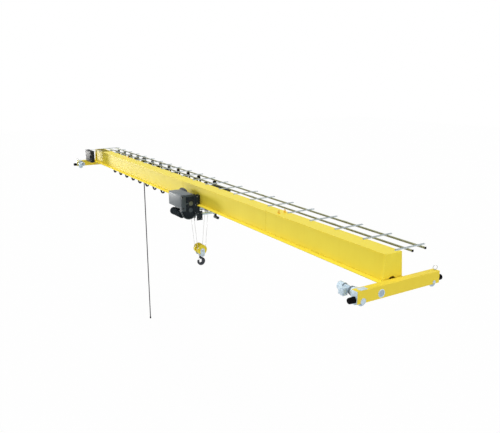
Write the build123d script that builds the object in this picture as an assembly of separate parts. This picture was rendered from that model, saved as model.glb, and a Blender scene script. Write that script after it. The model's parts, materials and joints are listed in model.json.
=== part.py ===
"""Overhead bridge crane: one box girder, two end carriages and a rope hoist hung beside the girder.

The frame has its origin at mid span on the plane of the runway rail tops.
X runs along the girder, Y points to the side that carries the cable rails, Z points up.
All lengths are in millimetres.
"""
import os
from math import radians, tan

from build123d import *

# Girder
GIRDER_LENGTH = 21200.0
GIRDER_DEPTH = 630.0
TOP_FLANGE_WIDTH = 480.0
TOP_FLANGE_THICKNESS = 12.0
BOTTOM_FLANGE_WIDTH = 740.0
BOTTOM_FLANGE_THICKNESS = 16.0
WEB_SPREAD = 410.0
WEB_THICKNESS = 8.0
END_PLATE_THICKNESS = 30.0
END_PLATE_TOP_WIDTH = 470.0
END_PLATE_FOOT_WIDTH = 580.0
END_PLATE_DROP = 170.0
NOTCH_FOOT_WIDTH = 274.0
NOTCH_TOP_WIDTH = 90.0
NOTCH_Y = -20.0
NOTCH_ABOVE_CARRIAGE = 32.0
NOTCH_SLOPE_HEIGHT = 72.0
LUG_SPREAD = 12800.0
LUG_GAUGE = 200.0
LUG_LENGTH = 110.0
LUG_HEIGHT = 95.0
LUG_THICKNESS = 16.0
LUG_EYE_RADIUS = 24.0

# End carriages
CARRIAGE_LENGTH = 2430.0
CARRIAGE_WIDTH = 184.0
CARRIAGE_HEIGHT = 280.0
CARRIAGE_WALL = 8.0
CARRIAGE_CLEAR_OF_RAIL = 60.0
CARRIAGE_GAP = 59.0
CARRIAGE_TOP_ABOVE_GIRDER_FOOT = 75.0
JOINT_FLANGE_WIDTH = 600.0
JOINT_FLANGE_MARGIN = 20.0
WHEEL_FROM_CARRIAGE_END = 160.0
WHEEL_RADIUS = 100.0
WHEEL_TREAD_WIDTH = 72.0
WHEEL_RIM_RADIUS = 116.0
WHEEL_RIM_WIDTH = 16.0
WHEEL_WEB_RECESS = 14.0
WHEEL_HUB_RADIUS = 48.0
AXLE_RADIUS = 26.0
RUNNING_CLEARANCE = 0.05
WHEEL_WINDOW_CLEARANCE = 12.0
FRONT_CAP_RADIUS = 72.0
BACK_CAP_RADIUS = 44.0
CAP_THICKNESS = 9.0
CAP_AXLE_SPACE = 3.0
SIDE_PORT_RADIUS = 74.0
SIDE_PORT_Y = -556.0
SIDE_PORT_Z = 176.0
BUFFER_RADIUS = 66.0
BUFFER_LENGTH = 140.0
BUFFER_Z = 142.0
BUFFER_FOOT_RADIUS = 72.0
BUFFER_FOOT_LENGTH = 22.0
BUFFER_ROUND = 26.0

# Travel drives
GEARBOX_WIDTH = 190.0
GEARBOX_HEIGHT = 372.0
GEARBOX_THICKNESS = 96.0
GEARBOX_FOOT = -40.0
GEARBOX_EDGE_ROUND = 18.0
DRIVE_MOTOR_RADIUS = 80.0
DRIVE_MOTOR_LENGTH = 420.0
DRIVE_MOTOR_Z = 222.0
DRIVE_FLANGE_RADIUS = 96.0
DRIVE_FLANGE_LENGTH = 34.0
DRIVE_COWL_RADIUS = 86.0
DRIVE_COWL_LENGTH = 95.0
DRIVE_FIN_COUNT = 16
DRIVE_FIN_DEPTH = 9.0
DRIVE_FIN_WIDTH = 9.0
TERMINAL_BOX_LENGTH = 110.0
TERMINAL_BOX_WIDTH = 95.0
TERMINAL_BOX_HEIGHT = 60.0

# Cable brackets and rails
ARM_PITCH = 1000.0
ARM_START = 128.0
ARM_END = 1048.0
ARM_WIDTH = 52.0
ARM_HEIGHT = 28.0
ARM_WALL = 4.0
RAIL_INNER_Y = 492.0
RAIL_OUTER_Y = 895.0
RAIL_SIZE = 40.0
RAIL_WALL = 3.0
RAIL_SLOT = 14.0
RAIL_OVERHANG = 60.0
RAIL_CAP_SIZE = 50.0
RAIL_CAP_THICKNESS = 10.0

# Cable trolleys and cables
CABLE_RADIUS = 25.0
CABLE_SEAT = 0.3
SADDLE_RADIUS = 80.0
SADDLE_THICKNESS = 56.0
SADDLE_CHEEK_THICKNESS = 6.0
SADDLE_DROP = 155.0
SADDLE_HEIGHT = 52.0
TRUCK_LENGTH = 120.0
TRUCK_WIDTH = 26.0
TRUCK_HEIGHT = 22.0
TRUCK_STEM_WIDTH = 9.0
TRUCK_STEM_LENGTH = 60.0
TRUCK_BRIDGE_THICKNESS = 6.0
INNER_TROLLEY_COUNT = 13
INNER_LAST_FROM_END = 390.0
INNER_TROLLEY_PITCH = 920.0
OUTER_TROLLEY_COUNT = 11
OUTER_LAST_FROM_END = 414.0
OUTER_TROLLEY_PITCH = 961.0
OUTER_TOW_GAP = 1322.0
LOOP_DEPTH = 985.0
CABLE_TAIL = 150.0
COUPLING_RADIUS = 36.0
COUPLING_LENGTH = 110.0
STRAP_WIDTH = 24.0
PENDANT_TROLLEY_INDEX = 7
PENDANT_SHIFT = 88.0
PENDANT_TRUCK_SHIFT = 110.0
PENDANT_OFFSET = 60.0
PENDANT_CABLE_RADIUS = 17.0
PENDANT_TOP = 740.0
PENDANT_BOTTOM = -7290.0
PENDANT_CLAMP_HEIGHT = 60.0
PENDANT_CLAMP_WIDTH = 46.0
PENDANT_ARM_THICKNESS = 20.0
CONNECTOR_RADIUS = 31.0
CONNECTOR_LENGTH = 135.0
CONNECTOR_NUT_RADIUS = 36.0
CONNECTOR_NUT_LENGTH = 30.0
CONNECTOR_NECK_RADIUS = 23.0
CONNECTOR_NECK_LENGTH = 40.0
CONNECTOR_SOCKET = 30.0

# Control cabinet
CABINET_LENGTH = 920.0
CABINET_DEPTH = 190.0
CABINET_HEIGHT = 565.0
CABINET_FROM_END = 50.0
CABINET_BACK_Y = -575.0
CABINET_FOOT = 340.0
CABINET_EDGE_ROUND = 8.0
CABINET_DOOR_GAP = 6.0
CABINET_DOOR_DEPTH = 5.0
CABINET_BRACKET_WIDTH = 50.0
CABINET_BRACKET_THICKNESS = 10.0
CABINET_BRACKET_INSET = 150.0

# Hoist trolley
HOIST_X = 1240.0
TROLLEY_WHEEL_RADIUS = 70.0
TROLLEY_WHEEL_WIDTH = 46.0
TROLLEY_WHEEL_RIM = 80.0
TROLLEY_RIM_WIDTH = 9.0
TROLLEY_RIM_CLEARANCE = 5.0
TROLLEY_WHEEL_SPREAD = 830.0
TROLLEY_AXLE_RADIUS = 16.0
TROLLEY_PLATE_THICKNESS = 20.0
TROLLEY_PLATE_STANDOFF = 26.0
TROLLEY_PLATE_WIDTH = 210.0
TROLLEY_PLATE_TOP = 430.0
TROLLEY_PLATE_FOOT = -190.0
TROLLEY_BEAM_HEIGHT = 70.0
TROLLEY_CORNER_ROUND = 30.0
CROSS_TUBE_RADIUS = 46.0
CROSS_TUBE_Z = -100.0
DRIVE_BOX_LENGTH = 120.0
DRIVE_BOX_DEPTH = 32.0
DRIVE_BOX_HEIGHT = 370.0
DRIVE_BOX_TOP = 60.0
TROLLEY_MOTOR_RADIUS = 50.0
TROLLEY_MOTOR_LENGTH = 260.0
TOW_POST_WIDTH = 60.0
TOW_POST_THICKNESS = 12.0
TOW_BAR_Y = 330.0
TOW_BAR_WIDTH = 44.0
TOW_BAR_HEIGHT = 40.0
TOW_BAR_START = 310.0
TOW_BAR_END = 1600.0
TOW_BAR_TOP = 880.0
TOW_END_DROP = 70.0

# Hoist
COVER_NEAR = 490.0
COVER_FAR = 550.0
COVER_FRONT_Y = -920.0
COVER_BACK_Y = -440.0
COVER_FOOT = 180.0
COVER_TOP = 655.0
COVER_EDGE_ROUND = 14.0
COVER_RELIEF = 4.0
GEARCASE_RADIUS = 284.0
GEARCASE_Y = -640.0
GEARCASE_Z = 90.0
GEARCASE_LENGTH = 120.0
END_PLATE_RIM = 14.0
HOIST_PLATE_THICKNESS = 34.0
HOIST_PLATE_MARGIN = 6.0
HOIST_PLATE_FOOT = 100.0
JAW_REACH_Y = -240.0
JAW_FOOT = 446.0
JAW_TOP = 622.0
CHEEK_THICKNESS = 26.0
CHEEK_OVERLAP = 44.0
CHEEK_FOOT = -280.0
CHEEK_TOP = 240.0
CHEEK_REACH_Y = -150.0
HORN_FOOT = 300.0
BOSS_RADIUS = 92.0
BOSS_HEIGHT = 14.0
UPPER_BOSS_Y = -575.0
UPPER_BOSS_Z = 350.0
LOWER_BOSS_Y = -590.0
LOWER_BOSS_Z = 122.0
FAR_FRAME_THICKNESS = 36.0
FAR_FRAME_FRONT_Y = -700.0
FAR_FRAME_FOOT = -70.0
GUARD_PLATE_RADIUS = 192.0
GUARD_PLATE_THICKNESS = 6.0
DRUM_RADIUS = 165.0
DRUM_Y = -520.0
DRUM_Z = 40.0
DRUM_LENGTH = 590.0
DRUM_FLANGE_RADIUS = 174.0
DRUM_FLANGE_LENGTH = 14.0
DRUM_SHAFT_RADIUS = 35.0
DRUM_GROOVE_COUNT = 16
DRUM_GROOVE_DEPTH = 5.0
DRUM_GROOVE_WIDTH = 14.0
DRUM_WALL = 20.0
DRUM_END_THICKNESS = 25.0
HOIST_MOTOR_RADIUS = 125.0
HOIST_MOTOR_Y = -840.0
HOIST_MOTOR_Z = -45.0
HOIST_MOTOR_LENGTH = 760.0
HOIST_COWL_RADIUS = 131.0
HOIST_COWL_LENGTH = 150.0
HOIST_FIN_COUNT = 20
HOIST_FIN_DEPTH = 12.0
HOIST_FIN_WIDTH = 12.0

# Rope and block
ROPE_RADIUS = 6.0
FALL_SPREAD = 250.0
FRONT_FALL_SHIFT = 90.0
ROPE_SEAT = 0.5
EQUALIZER_Y = 285.0
EQUALIZER_Z = -80.0
EQUALIZER_WIDTH = 34.0
EQUALIZER_GROOVE_WIDTH = 22.0
EQUALIZER_PIN_RADIUS = 22.0
BLOCK_Z = -1500.0
SHEAVE_RADIUS = 144.0
SHEAVE_RIM_RADIUS = 158.0
SHEAVE_WIDTH = 44.0
SHEAVE_WEB_THICKNESS = 16.0
SHEAVE_HUB_RADIUS = 45.0
BLOCK_PIN_RADIUS = 25.0
GUARD_RADIUS = 180.0
GUARD_WALL = 8.0
GUARD_WIDTH = 126.0
GUARD_SLOT_WIDTH = 40.0
GUARD_EDGE_ROUND = 7.0
SIDE_PLATE_WIDTH = 170.0
SIDE_PLATE_HEIGHT = 320.0
SIDE_PLATE_THICKNESS = 14.0
SIDE_PLATE_Z = -1604.0
SHEAVE_SIDE_CLEARANCE = 0.3
SHEAVE_GROOVE_HALF = 5.0
SHEAVE_LIP_HALF = 14.0
SHEAVE_RIM_DEPTH = 33.0
TRUNNION_RADIUS = 26.0
TRUNNION_Z = -1716.0
CROSSHEAD_LENGTH = 110.0
CROSSHEAD_DEPTH = 120.0
CROSSHEAD_HEIGHT = 84.0
SHANK_RADIUS = 28.0
NUT_RADIUS = 46.0
NUT_HEIGHT = 46.0

# Hook
HOOK_OUTER_RADIUS = 150.0
HOOK_OUTER_Y = 28.0
HOOK_OUTER_Z = -1985.0
HOOK_BOWL_RADIUS = 56.0
HOOK_BOWL_Z = -1978.0
HOOK_BOWL_STRETCH = 34.0
HOOK_THICKNESS = 64.0
HOOK_TIP_Z = -1925.0
HOOK_TIP_SLOPE = 34.0
HOOK_NECK_RADIUS = 38.0
HOOK_NECK_Z = -1868.0
HOOK_CORNER_ROUND = 8.0
HOOK_EDGE_ROUND = 7.0
LATCH_WIDTH = 26.0
LATCH_THICKNESS = 5.0
LATCH_LENGTH = 64.0
LATCH_SEAT = 1.0
LATCH_SIDE_CLEARANCE = 0.5
LATCH_BARREL_RADIUS = 8.0
LATCH_PIN_RADIUS = 4.5
LATCH_PIN_CLEARANCE = 0.2
LATCH_PIN_REACH = 16.0
LATCH_PIN_Z = -1878.0
LATCH_EAR_THICKNESS = 6.0
LATCH_EAR_RADIUS = 10.0

# One overrun serves every cut
OVERRUN = 50.0

# Shares of a cable loop, across from the middle and down from the top
LOOP_ACROSS_SHARES = (0.888, 0.705, 0.578, 0.437, 0.175)
LOOP_DOWN_SHARES = (0.305, 0.609, 0.802, 0.926, 1.00)

# Places worked out from the sizes above
CARRIAGE_FOOT = CARRIAGE_CLEAR_OF_RAIL
CARRIAGE_TOP = CARRIAGE_FOOT + CARRIAGE_HEIGHT
GIRDER_FOOT = CARRIAGE_TOP - CARRIAGE_TOP_ABOVE_GIRDER_FOOT
GIRDER_TOP = GIRDER_FOOT + GIRDER_DEPTH
GIRDER_END = GIRDER_LENGTH / 2
PLATE_END = GIRDER_END - END_PLATE_THICKNESS
FLANGE_TREAD = GIRDER_FOOT + BOTTOM_FLANGE_THICKNESS
CARRIAGE_INNER = GIRDER_END + CARRIAGE_GAP
CARRIAGE_X = CARRIAGE_INNER + CARRIAGE_WIDTH / 2
CARRIAGE_OUTER = CARRIAGE_INNER + CARRIAGE_WIDTH
WHEEL_BASE = CARRIAGE_LENGTH - 2 * WHEEL_FROM_CARRIAGE_END
AXLE_Z = WHEEL_RADIUS
RAIL_TOP = GIRDER_TOP
RAIL_FOOT = RAIL_TOP - RAIL_SIZE
RAIL_END = GIRDER_END + RAIL_OVERHANG
ARM_COUNT = int(GIRDER_LENGTH / ARM_PITCH) + 1
PENDANT_Y = RAIL_OUTER_Y - PENDANT_OFFSET
CABINET_FAR_X = CABINET_FROM_END - GIRDER_END
CABINET_NEAR_X = CABINET_FAR_X + CABINET_LENGTH
SADDLE_Z = RAIL_FOOT - SADDLE_DROP
SADDLE_LOW = SADDLE_Z + SADDLE_RADIUS - SADDLE_HEIGHT
CABLE_ARC_RADIUS = SADDLE_RADIUS + CABLE_RADIUS + CABLE_SEAT
CABLE_ARC_CORNER = CABLE_ARC_RADIUS * tan(radians(45) / 2)
TROLLEY_WHEEL_Y = BOTTOM_FLANGE_WIDTH / 2 + TROLLEY_RIM_CLEARANCE - TROLLEY_WHEEL_WIDTH / 2
TROLLEY_AXLE_Z = FLANGE_TREAD + TROLLEY_WHEEL_RADIUS
TROLLEY_PLATE_Y = BOTTOM_FLANGE_WIDTH / 2 + TROLLEY_PLATE_STANDOFF
HOIST_NEAR = HOIST_X + COVER_NEAR
HOIST_FAR = HOIST_X - COVER_FAR
HOIST_PLATE_FACE = HOIST_NEAR + HOIST_PLATE_THICKNESS
TROLLEY_PLATE_OUTSIDE = TROLLEY_PLATE_Y + TROLLEY_PLATE_THICKNESS
LATCH_PIN_Y = -HOOK_NECK_RADIUS - LATCH_PIN_REACH


def block(x0, x1, y0, y1, z0, z1):
    """Return a box between two corners."""
    box = Box(x1 - x0, y1 - y0, z1 - z0)
    return Pos((x0 + x1) / 2, (y0 + y1) / 2, (z0 + z1) / 2) * box


def rod_x(radius, x0, x1, y, z):
    """Return a cylinder along X."""
    return Pos((x0 + x1) / 2, y, z) * (Rot(0, 90, 0) * Cylinder(radius, x1 - x0))


def rod_y(radius, y0, y1, x, z):
    """Return a cylinder along Y."""
    return Pos(x, (y0 + y1) / 2, z) * (Rot(90, 0, 0) * Cylinder(radius, y1 - y0))


def rod_z(radius, z0, z1, x, y):
    """Return a cylinder along Z."""
    return Pos(x, y, (z0 + z1) / 2) * Cylinder(radius, z1 - z0)


def rod_between(start, end, radius):
    """Return a straight rod between two points."""
    line = Line(start, end)
    section = Plane(origin=start, z_dir=Vector(*end) - Vector(*start)) * Circle(radius)
    return sweep(section, path=line)


def both_ends(shape):
    """Return a shape and its mirror image across mid span."""
    return [shape, mirror(shape, about=Plane.YZ)]


def solids_of(item):
    """Return the solids held by a shape or a list of shapes."""
    if isinstance(item, (list, tuple)):
        return [solid for part in item for solid in solids_of(part)]
    return list(item.solids())


def write(name, item):
    """Write one sub-part as a STEP file."""
    solids = solids_of(item)
    shape = solids[0] if len(solids) == 1 else Compound(children=solids)
    export_step(shape, f"parts/{name}.step")
    print(name, len(solids), "solids", round(sum(solid.volume for solid in solids) / 1e6, 2), "litres")


# Girder pieces
def girder_top_flange():
    """Return the top flange plate."""
    half = TOP_FLANGE_WIDTH / 2
    return block(-PLATE_END, PLATE_END, -half, half, GIRDER_TOP - TOP_FLANGE_THICKNESS, GIRDER_TOP)


def girder_bottom_flange():
    """Return the bottom flange plate, wide enough for the trolley wheels."""
    half = BOTTOM_FLANGE_WIDTH / 2
    return block(-PLATE_END, PLATE_END, -half, half, GIRDER_FOOT, FLANGE_TREAD)


def girder_webs():
    """Return the two web plates."""
    outside = WEB_SPREAD / 2
    inside = outside - WEB_THICKNESS
    top = GIRDER_TOP - TOP_FLANGE_THICKNESS
    front = block(-PLATE_END, PLATE_END, -outside, -inside, FLANGE_TREAD, top)
    return [front, mirror(front, about=Plane.XZ)]


def girder_end_plates():
    """Return the tapered end plates with the notch over the carriage."""
    top = END_PLATE_TOP_WIDTH / 2
    foot = END_PLATE_FOOT_WIDTH / 2
    low = GIRDER_FOOT - END_PLATE_DROP
    right = [(top, GIRDER_TOP), (foot, GIRDER_FOOT), (foot, low)]
    left = [(-y, z) for y, z in reversed(right)]
    outline = make_face(Polyline(*right, *left, close=True))
    plate = Pos(PLATE_END, 0, 0) * extrude(Plane.YZ * (outline - end_plate_notch(low)), END_PLATE_THICKNESS)
    return both_ends(plate)


def end_plate_notch(low):
    """Return the flat outline of the notch, with its sloped shoulders above the carriage."""
    foot = NOTCH_FOOT_WIDTH / 2
    top = NOTCH_TOP_WIDTH / 2
    top_z = CARRIAGE_TOP + NOTCH_ABOVE_CARRIAGE
    right = [(top, top_z), (foot, top_z - NOTCH_SLOPE_HEIGHT), (foot, low - OVERRUN)]
    left = [(-y, z) for y, z in reversed(right)]
    return Pos(NOTCH_Y, 0) * make_face(Polyline(*right, *left, close=True))


def lifting_lugs():
    """Return four eye plates on the top flange."""
    half = LUG_LENGTH / 2
    low = (-half, 0.0)
    outline = make_face(Polyline(low, (half, 0.0), (half / 2, LUG_HEIGHT), (-half / 2, LUG_HEIGHT), close=True))
    eye = Pos(0, LUG_HEIGHT - LUG_EYE_RADIUS * 1.6) * Circle(LUG_EYE_RADIUS)
    plate = extrude(Plane.XZ * (outline - eye), LUG_THICKNESS / 2, both=True)
    places = [(x, y) for x in (-LUG_SPREAD / 2, LUG_SPREAD / 2) for y in (-LUG_GAUGE / 2, LUG_GAUGE / 2)]
    return [Pos(x, y, GIRDER_TOP) * plate for x, y in places]


# End carriages
def carriage_body():
    """Return the near carriage: a box section with wheel windows, ports and the joint flange."""
    half = CARRIAGE_LENGTH / 2
    body = block(CARRIAGE_INNER, CARRIAGE_OUTER, -half, half, CARRIAGE_FOOT, CARRIAGE_TOP)
    wall = CARRIAGE_WALL
    body -= block(
        CARRIAGE_INNER + wall, CARRIAGE_OUTER - wall, -half + wall, half - wall,
        CARRIAGE_FOOT + wall, CARRIAGE_TOP - wall,
    )
    reach = WHEEL_RIM_RADIUS + WHEEL_WINDOW_CLEARANCE
    for y in (-WHEEL_BASE / 2, WHEEL_BASE / 2):
        body -= block(
            CARRIAGE_INNER + wall, CARRIAGE_OUTER - wall, y - reach, y + reach,
            CARRIAGE_FOOT - OVERRUN, CARRIAGE_FOOT + wall + OVERRUN,
        )
        bore = AXLE_RADIUS + RUNNING_CLEARANCE
        body -= rod_x(bore, CARRIAGE_INNER - OVERRUN, CARRIAGE_OUTER + OVERRUN, y, AXLE_Z)
    body -= rod_x(SIDE_PORT_RADIUS, CARRIAGE_X, CARRIAGE_OUTER + OVERRUN, SIDE_PORT_Y, SIDE_PORT_Z)
    width = JOINT_FLANGE_WIDTH / 2
    low = CARRIAGE_FOOT + JOINT_FLANGE_MARGIN
    high = CARRIAGE_TOP - JOINT_FLANGE_MARGIN
    return body + block(GIRDER_END, CARRIAGE_INNER, -width, width, low, high)


def carriage_wheel(side, y):
    """Return a flanged wheel with its axle, turned about X, on the side of mid span that is given."""
    half = WHEEL_TREAD_WIDTH / 2
    rim = half + WHEEL_RIM_WIDTH
    wheel = rod_x(WHEEL_RADIUS, -half, half, 0, 0)
    wheel += rod_x(WHEEL_RIM_RADIUS, -rim, -half, 0, 0)
    wheel += rod_x(WHEEL_RIM_RADIUS, half, rim, 0, 0)
    dish = rod_x(WHEEL_RADIUS - WHEEL_RIM_WIDTH, rim - WHEEL_WEB_RECESS, rim + OVERRUN, 0, 0)
    dish -= rod_x(WHEEL_HUB_RADIUS, rim - WHEEL_WEB_RECESS, rim + OVERRUN, 0, 0)
    wheel -= dish
    wheel -= mirror(dish, about=Plane.YZ)
    axle = CARRIAGE_WIDTH / 2
    wheel += rod_x(AXLE_RADIUS, -axle, axle, 0, 0)
    return Pos(side * CARRIAGE_X, y, AXLE_Z) * wheel


def axle_caps():
    """Return the round caps over the axle ends on the outer side of each carriage."""
    caps = []
    outer = CARRIAGE_OUTER
    for y, radius in ((-WHEEL_BASE / 2, FRONT_CAP_RADIUS), (WHEEL_BASE / 2, BACK_CAP_RADIUS)):
        cap = rod_x(radius, outer, outer + CAP_THICKNESS, y, AXLE_Z)
        cap = chamfer(cap.edges().filter_by(GeomType.CIRCLE).sort_by(Axis.X)[-1], CAP_THICKNESS / 3)
        cap -= rod_x(AXLE_RADIUS + CAP_AXLE_SPACE, outer - OVERRUN, outer + CAP_AXLE_SPACE, y, AXLE_Z)
        caps += both_ends(cap)
    return caps


def buffers():
    """Return the four rubber end buffers."""
    half = CARRIAGE_LENGTH / 2
    foot_end = half + BUFFER_FOOT_LENGTH
    nose = rod_y(BUFFER_RADIUS, foot_end, foot_end + BUFFER_LENGTH, CARRIAGE_X, BUFFER_Z)
    nose = fillet(nose.edges().filter_by(GeomType.CIRCLE).sort_by(Axis.Y)[-1], BUFFER_ROUND)
    buffer = nose + rod_y(BUFFER_FOOT_RADIUS, half, foot_end, CARRIAGE_X, BUFFER_Z)
    pair = [buffer, mirror(buffer, about=Plane.XZ)]
    return [copy for shape in pair for copy in both_ends(shape)]


def finned_motor(radius, length, fins, fin_width, fin_depth):
    """Return a motor body from zero along +X with grooves between its fins."""
    body = rod_x(radius, 0, length, 0, 0)
    groove = block(0, length, -fin_width / 2, fin_width / 2, radius - fin_depth, radius + OVERRUN)
    for index in range(fins):
        body -= Rot(360.0 * index / fins, 0, 0) * groove
    return body


def travel_drive():
    """Return the near travel drive: gearbox slab, flange, finned motor, cowl and terminal box."""
    y = -WHEEL_BASE / 2
    width = GEARBOX_WIDTH / 2
    outer = CARRIAGE_INNER
    inner = outer - GEARBOX_THICKNESS
    slab = block(inner, outer, y - width, y + width, GEARBOX_FOOT, GEARBOX_FOOT + GEARBOX_HEIGHT)
    slab = fillet(slab.edges().filter_by(Axis.X), width * 2 / 3)
    slab = fillet(slab.faces().sort_by(Axis.X)[0].edges(), GEARBOX_EDGE_ROUND)
    flange = rod_x(DRIVE_FLANGE_RADIUS, inner - DRIVE_FLANGE_LENGTH, inner, y, DRIVE_MOTOR_Z)
    back = inner - DRIVE_FLANGE_LENGTH
    front = back - DRIVE_MOTOR_LENGTH
    body_length = DRIVE_MOTOR_LENGTH - DRIVE_COWL_LENGTH
    motor = finned_motor(DRIVE_MOTOR_RADIUS, body_length, DRIVE_FIN_COUNT, DRIVE_FIN_WIDTH, DRIVE_FIN_DEPTH)
    motor = Pos(back - body_length, y, DRIVE_MOTOR_Z) * motor
    cowl = rod_x(DRIVE_COWL_RADIUS, front, front + DRIVE_COWL_LENGTH, y, DRIVE_MOTOR_Z)
    cowl = fillet(cowl.edges().filter_by(GeomType.CIRCLE).sort_by(Axis.X)[0], DRIVE_COWL_LENGTH / 6)
    box_x = back - body_length / 2
    half_box = TERMINAL_BOX_LENGTH / 2
    box = block(
        box_x - half_box, box_x + half_box,
        y - DRIVE_MOTOR_RADIUS - TERMINAL_BOX_HEIGHT / 2, y,
        DRIVE_MOTOR_Z - TERMINAL_BOX_WIDTH / 2, DRIVE_MOTOR_Z + TERMINAL_BOX_WIDTH / 2,
    )
    return slab + flange + motor + cowl + box


# Cable brackets, rails and trolleys
def arm_places():
    """Return the X places of the bracket arms."""
    first = -ARM_PITCH * (ARM_COUNT - 1) / 2
    return [first + ARM_PITCH * index for index in range(ARM_COUNT)]


def bracket_arms():
    """Return the channel arms on the girder and the brackets that carry the cabinet."""
    half = ARM_WIDTH / 2
    arm = block(-half, half, ARM_START, ARM_END, GIRDER_TOP, GIRDER_TOP + ARM_HEIGHT)
    arm -= block(
        -half + ARM_WALL, half - ARM_WALL, ARM_START - OVERRUN, ARM_END + OVERRUN,
        GIRDER_TOP + ARM_WALL, GIRDER_TOP + ARM_HEIGHT + OVERRUN,
    )
    arms = [Pos(x, 0, 0) * arm for x in arm_places()]
    for x in (CABINET_NEAR_X - CABINET_BRACKET_INSET, CABINET_FAR_X + CABINET_BRACKET_INSET):
        arms.append(cabinet_bracket(x))
    return arms


def cabinet_bracket(x):
    """Return one flat bracket from the girder top to the back of the cabinet."""
    half = CABINET_BRACKET_WIDTH / 2
    thick = CABINET_BRACKET_THICKNESS
    edge = -TOP_FLANGE_WIDTH / 2
    strap = block(x - half, x + half, CABINET_BACK_Y, edge / 2, GIRDER_TOP, GIRDER_TOP + thick)
    low = CABINET_FOOT + CABINET_EDGE_ROUND
    drop = block(x - half, x + half, CABINET_BACK_Y, CABINET_BACK_Y + thick, low, GIRDER_TOP)
    return strap + drop


def cable_rails():
    """Return the two slotted rails under the arms."""
    rails = []
    for y in (RAIL_INNER_Y, RAIL_OUTER_Y):
        half = RAIL_SIZE / 2
        rail = block(-RAIL_END, RAIL_END, y - half, y + half, RAIL_FOOT, RAIL_TOP)
        rail -= block(
            -RAIL_END - OVERRUN, RAIL_END + OVERRUN, y - half + RAIL_WALL, y + half - RAIL_WALL,
            RAIL_FOOT + RAIL_WALL, RAIL_TOP - RAIL_WALL,
        )
        slot = RAIL_SLOT / 2
        rail -= block(
            -RAIL_END - OVERRUN, RAIL_END + OVERRUN, y - slot, y + slot,
            RAIL_FOOT - OVERRUN, RAIL_FOOT + RAIL_SIZE / 2,
        )
        rails.append(rail)
    return rails


def rail_end_caps():
    """Return the plastic end caps of the two rails."""
    caps = []
    middle = (RAIL_FOOT + RAIL_TOP) / 2
    half = RAIL_CAP_SIZE / 2
    for y in (RAIL_INNER_Y, RAIL_OUTER_Y):
        cap = block(RAIL_END, RAIL_END + RAIL_CAP_THICKNESS, y - half, y + half, middle - half, middle + half)
        caps += both_ends(cap)
    return caps


def truck(x, y, foot):
    """Return the small carriage inside a rail with its stem down to the foot height."""
    seat = RAIL_FOOT + RAIL_WALL
    half = TRUCK_LENGTH / 2
    side = TRUCK_WIDTH / 2
    body = block(x - half, x + half, y - side, y + side, seat, seat + TRUCK_HEIGHT)
    half = TRUCK_STEM_LENGTH / 2
    stem = block(x - half, x + half, y - TRUCK_STEM_WIDTH / 2, y + TRUCK_STEM_WIDTH / 2, foot, seat)
    return body + stem


def saddle_trolley(x, y):
    """Return a cable trolley: truck, bridge, two cheeks and the half round saddle."""
    bridge_foot = SADDLE_Z + SADDLE_RADIUS + 2 * CABLE_RADIUS + 2 * CABLE_SEAT
    half = TRUCK_STEM_LENGTH / 2
    side = SADDLE_THICKNESS / 2
    cheek = side + SADDLE_CHEEK_THICKNESS
    shape = truck(x, y, bridge_foot)
    shape += block(x - half, x + half, y - cheek, y + cheek, bridge_foot, bridge_foot + TRUCK_BRIDGE_THICKNESS)
    for y0, y1 in ((y - cheek, y - side), (y + side, y + cheek)):
        shape += block(x - half, x + half, y0, y1, SADDLE_LOW, bridge_foot)
    saddle = rod_y(SADDLE_RADIUS, y - side, y + side, x, SADDLE_Z)
    below = block(
        x - SADDLE_RADIUS - OVERRUN, x + SADDLE_RADIUS + OVERRUN, y - side - OVERRUN, y + side + OVERRUN,
        SADDLE_Z - SADDLE_RADIUS - OVERRUN, SADDLE_LOW,
    )
    return shape + (saddle - below)


def cable_coupling(x, y, side):
    """Return the coupling at a cable end and the strap that hangs it from the cheek of its trolley."""
    end_x = x + side * CABLE_ARC_RADIUS
    top = SADDLE_Z - CABLE_TAIL - CABLE_SEAT
    coupling = rod_z(COUPLING_RADIUS, top - COUPLING_LENGTH, top, end_x, y)
    coupling = chamfer(coupling.edges().filter_by(GeomType.CIRCLE), COUPLING_RADIUS / 9)
    y0 = y + SADDLE_THICKNESS / 2
    y1 = y0 + SADDLE_CHEEK_THICKNESS
    half = STRAP_WIDTH / 2
    strap = block(end_x - half, end_x + half, y0, y1, top - COUPLING_LENGTH / 2, SADDLE_LOW + STRAP_WIDTH)
    x0, x1 = sorted((x, end_x + side * half))
    return coupling + strap + block(x0, x1, y0, y1, SADDLE_LOW, SADDLE_LOW + STRAP_WIDTH)


def trolley_row(places, y):
    """Return the trolleys of one rail, the first and the last with the coupling of their cable end."""
    row = [saddle_trolley(x, y) for x in places]
    row[0] += cable_coupling(places[0], y, 1)
    row[-1] += cable_coupling(places[-1], y, -1)
    return row


def inner_places():
    """Return the X places of the trolleys on the inner rail, nearest first."""
    last = INNER_LAST_FROM_END - GIRDER_END
    return [last + INNER_TROLLEY_PITCH * index for index in reversed(range(INNER_TROLLEY_COUNT))]


def outer_places():
    """Return the X places of the trolleys on the outer rail, nearest first."""
    last = OUTER_LAST_FROM_END - GIRDER_END
    row = [last + OUTER_TROLLEY_PITCH * index for index in reversed(range(OUTER_TROLLEY_COUNT))]
    return [row[0] + OUTER_TOW_GAP] + row


def pendant_x():
    """Return where the pendant cable hangs along the outer rail."""
    return outer_places()[PENDANT_TROLLEY_INDEX] - PENDANT_SHIFT


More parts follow.
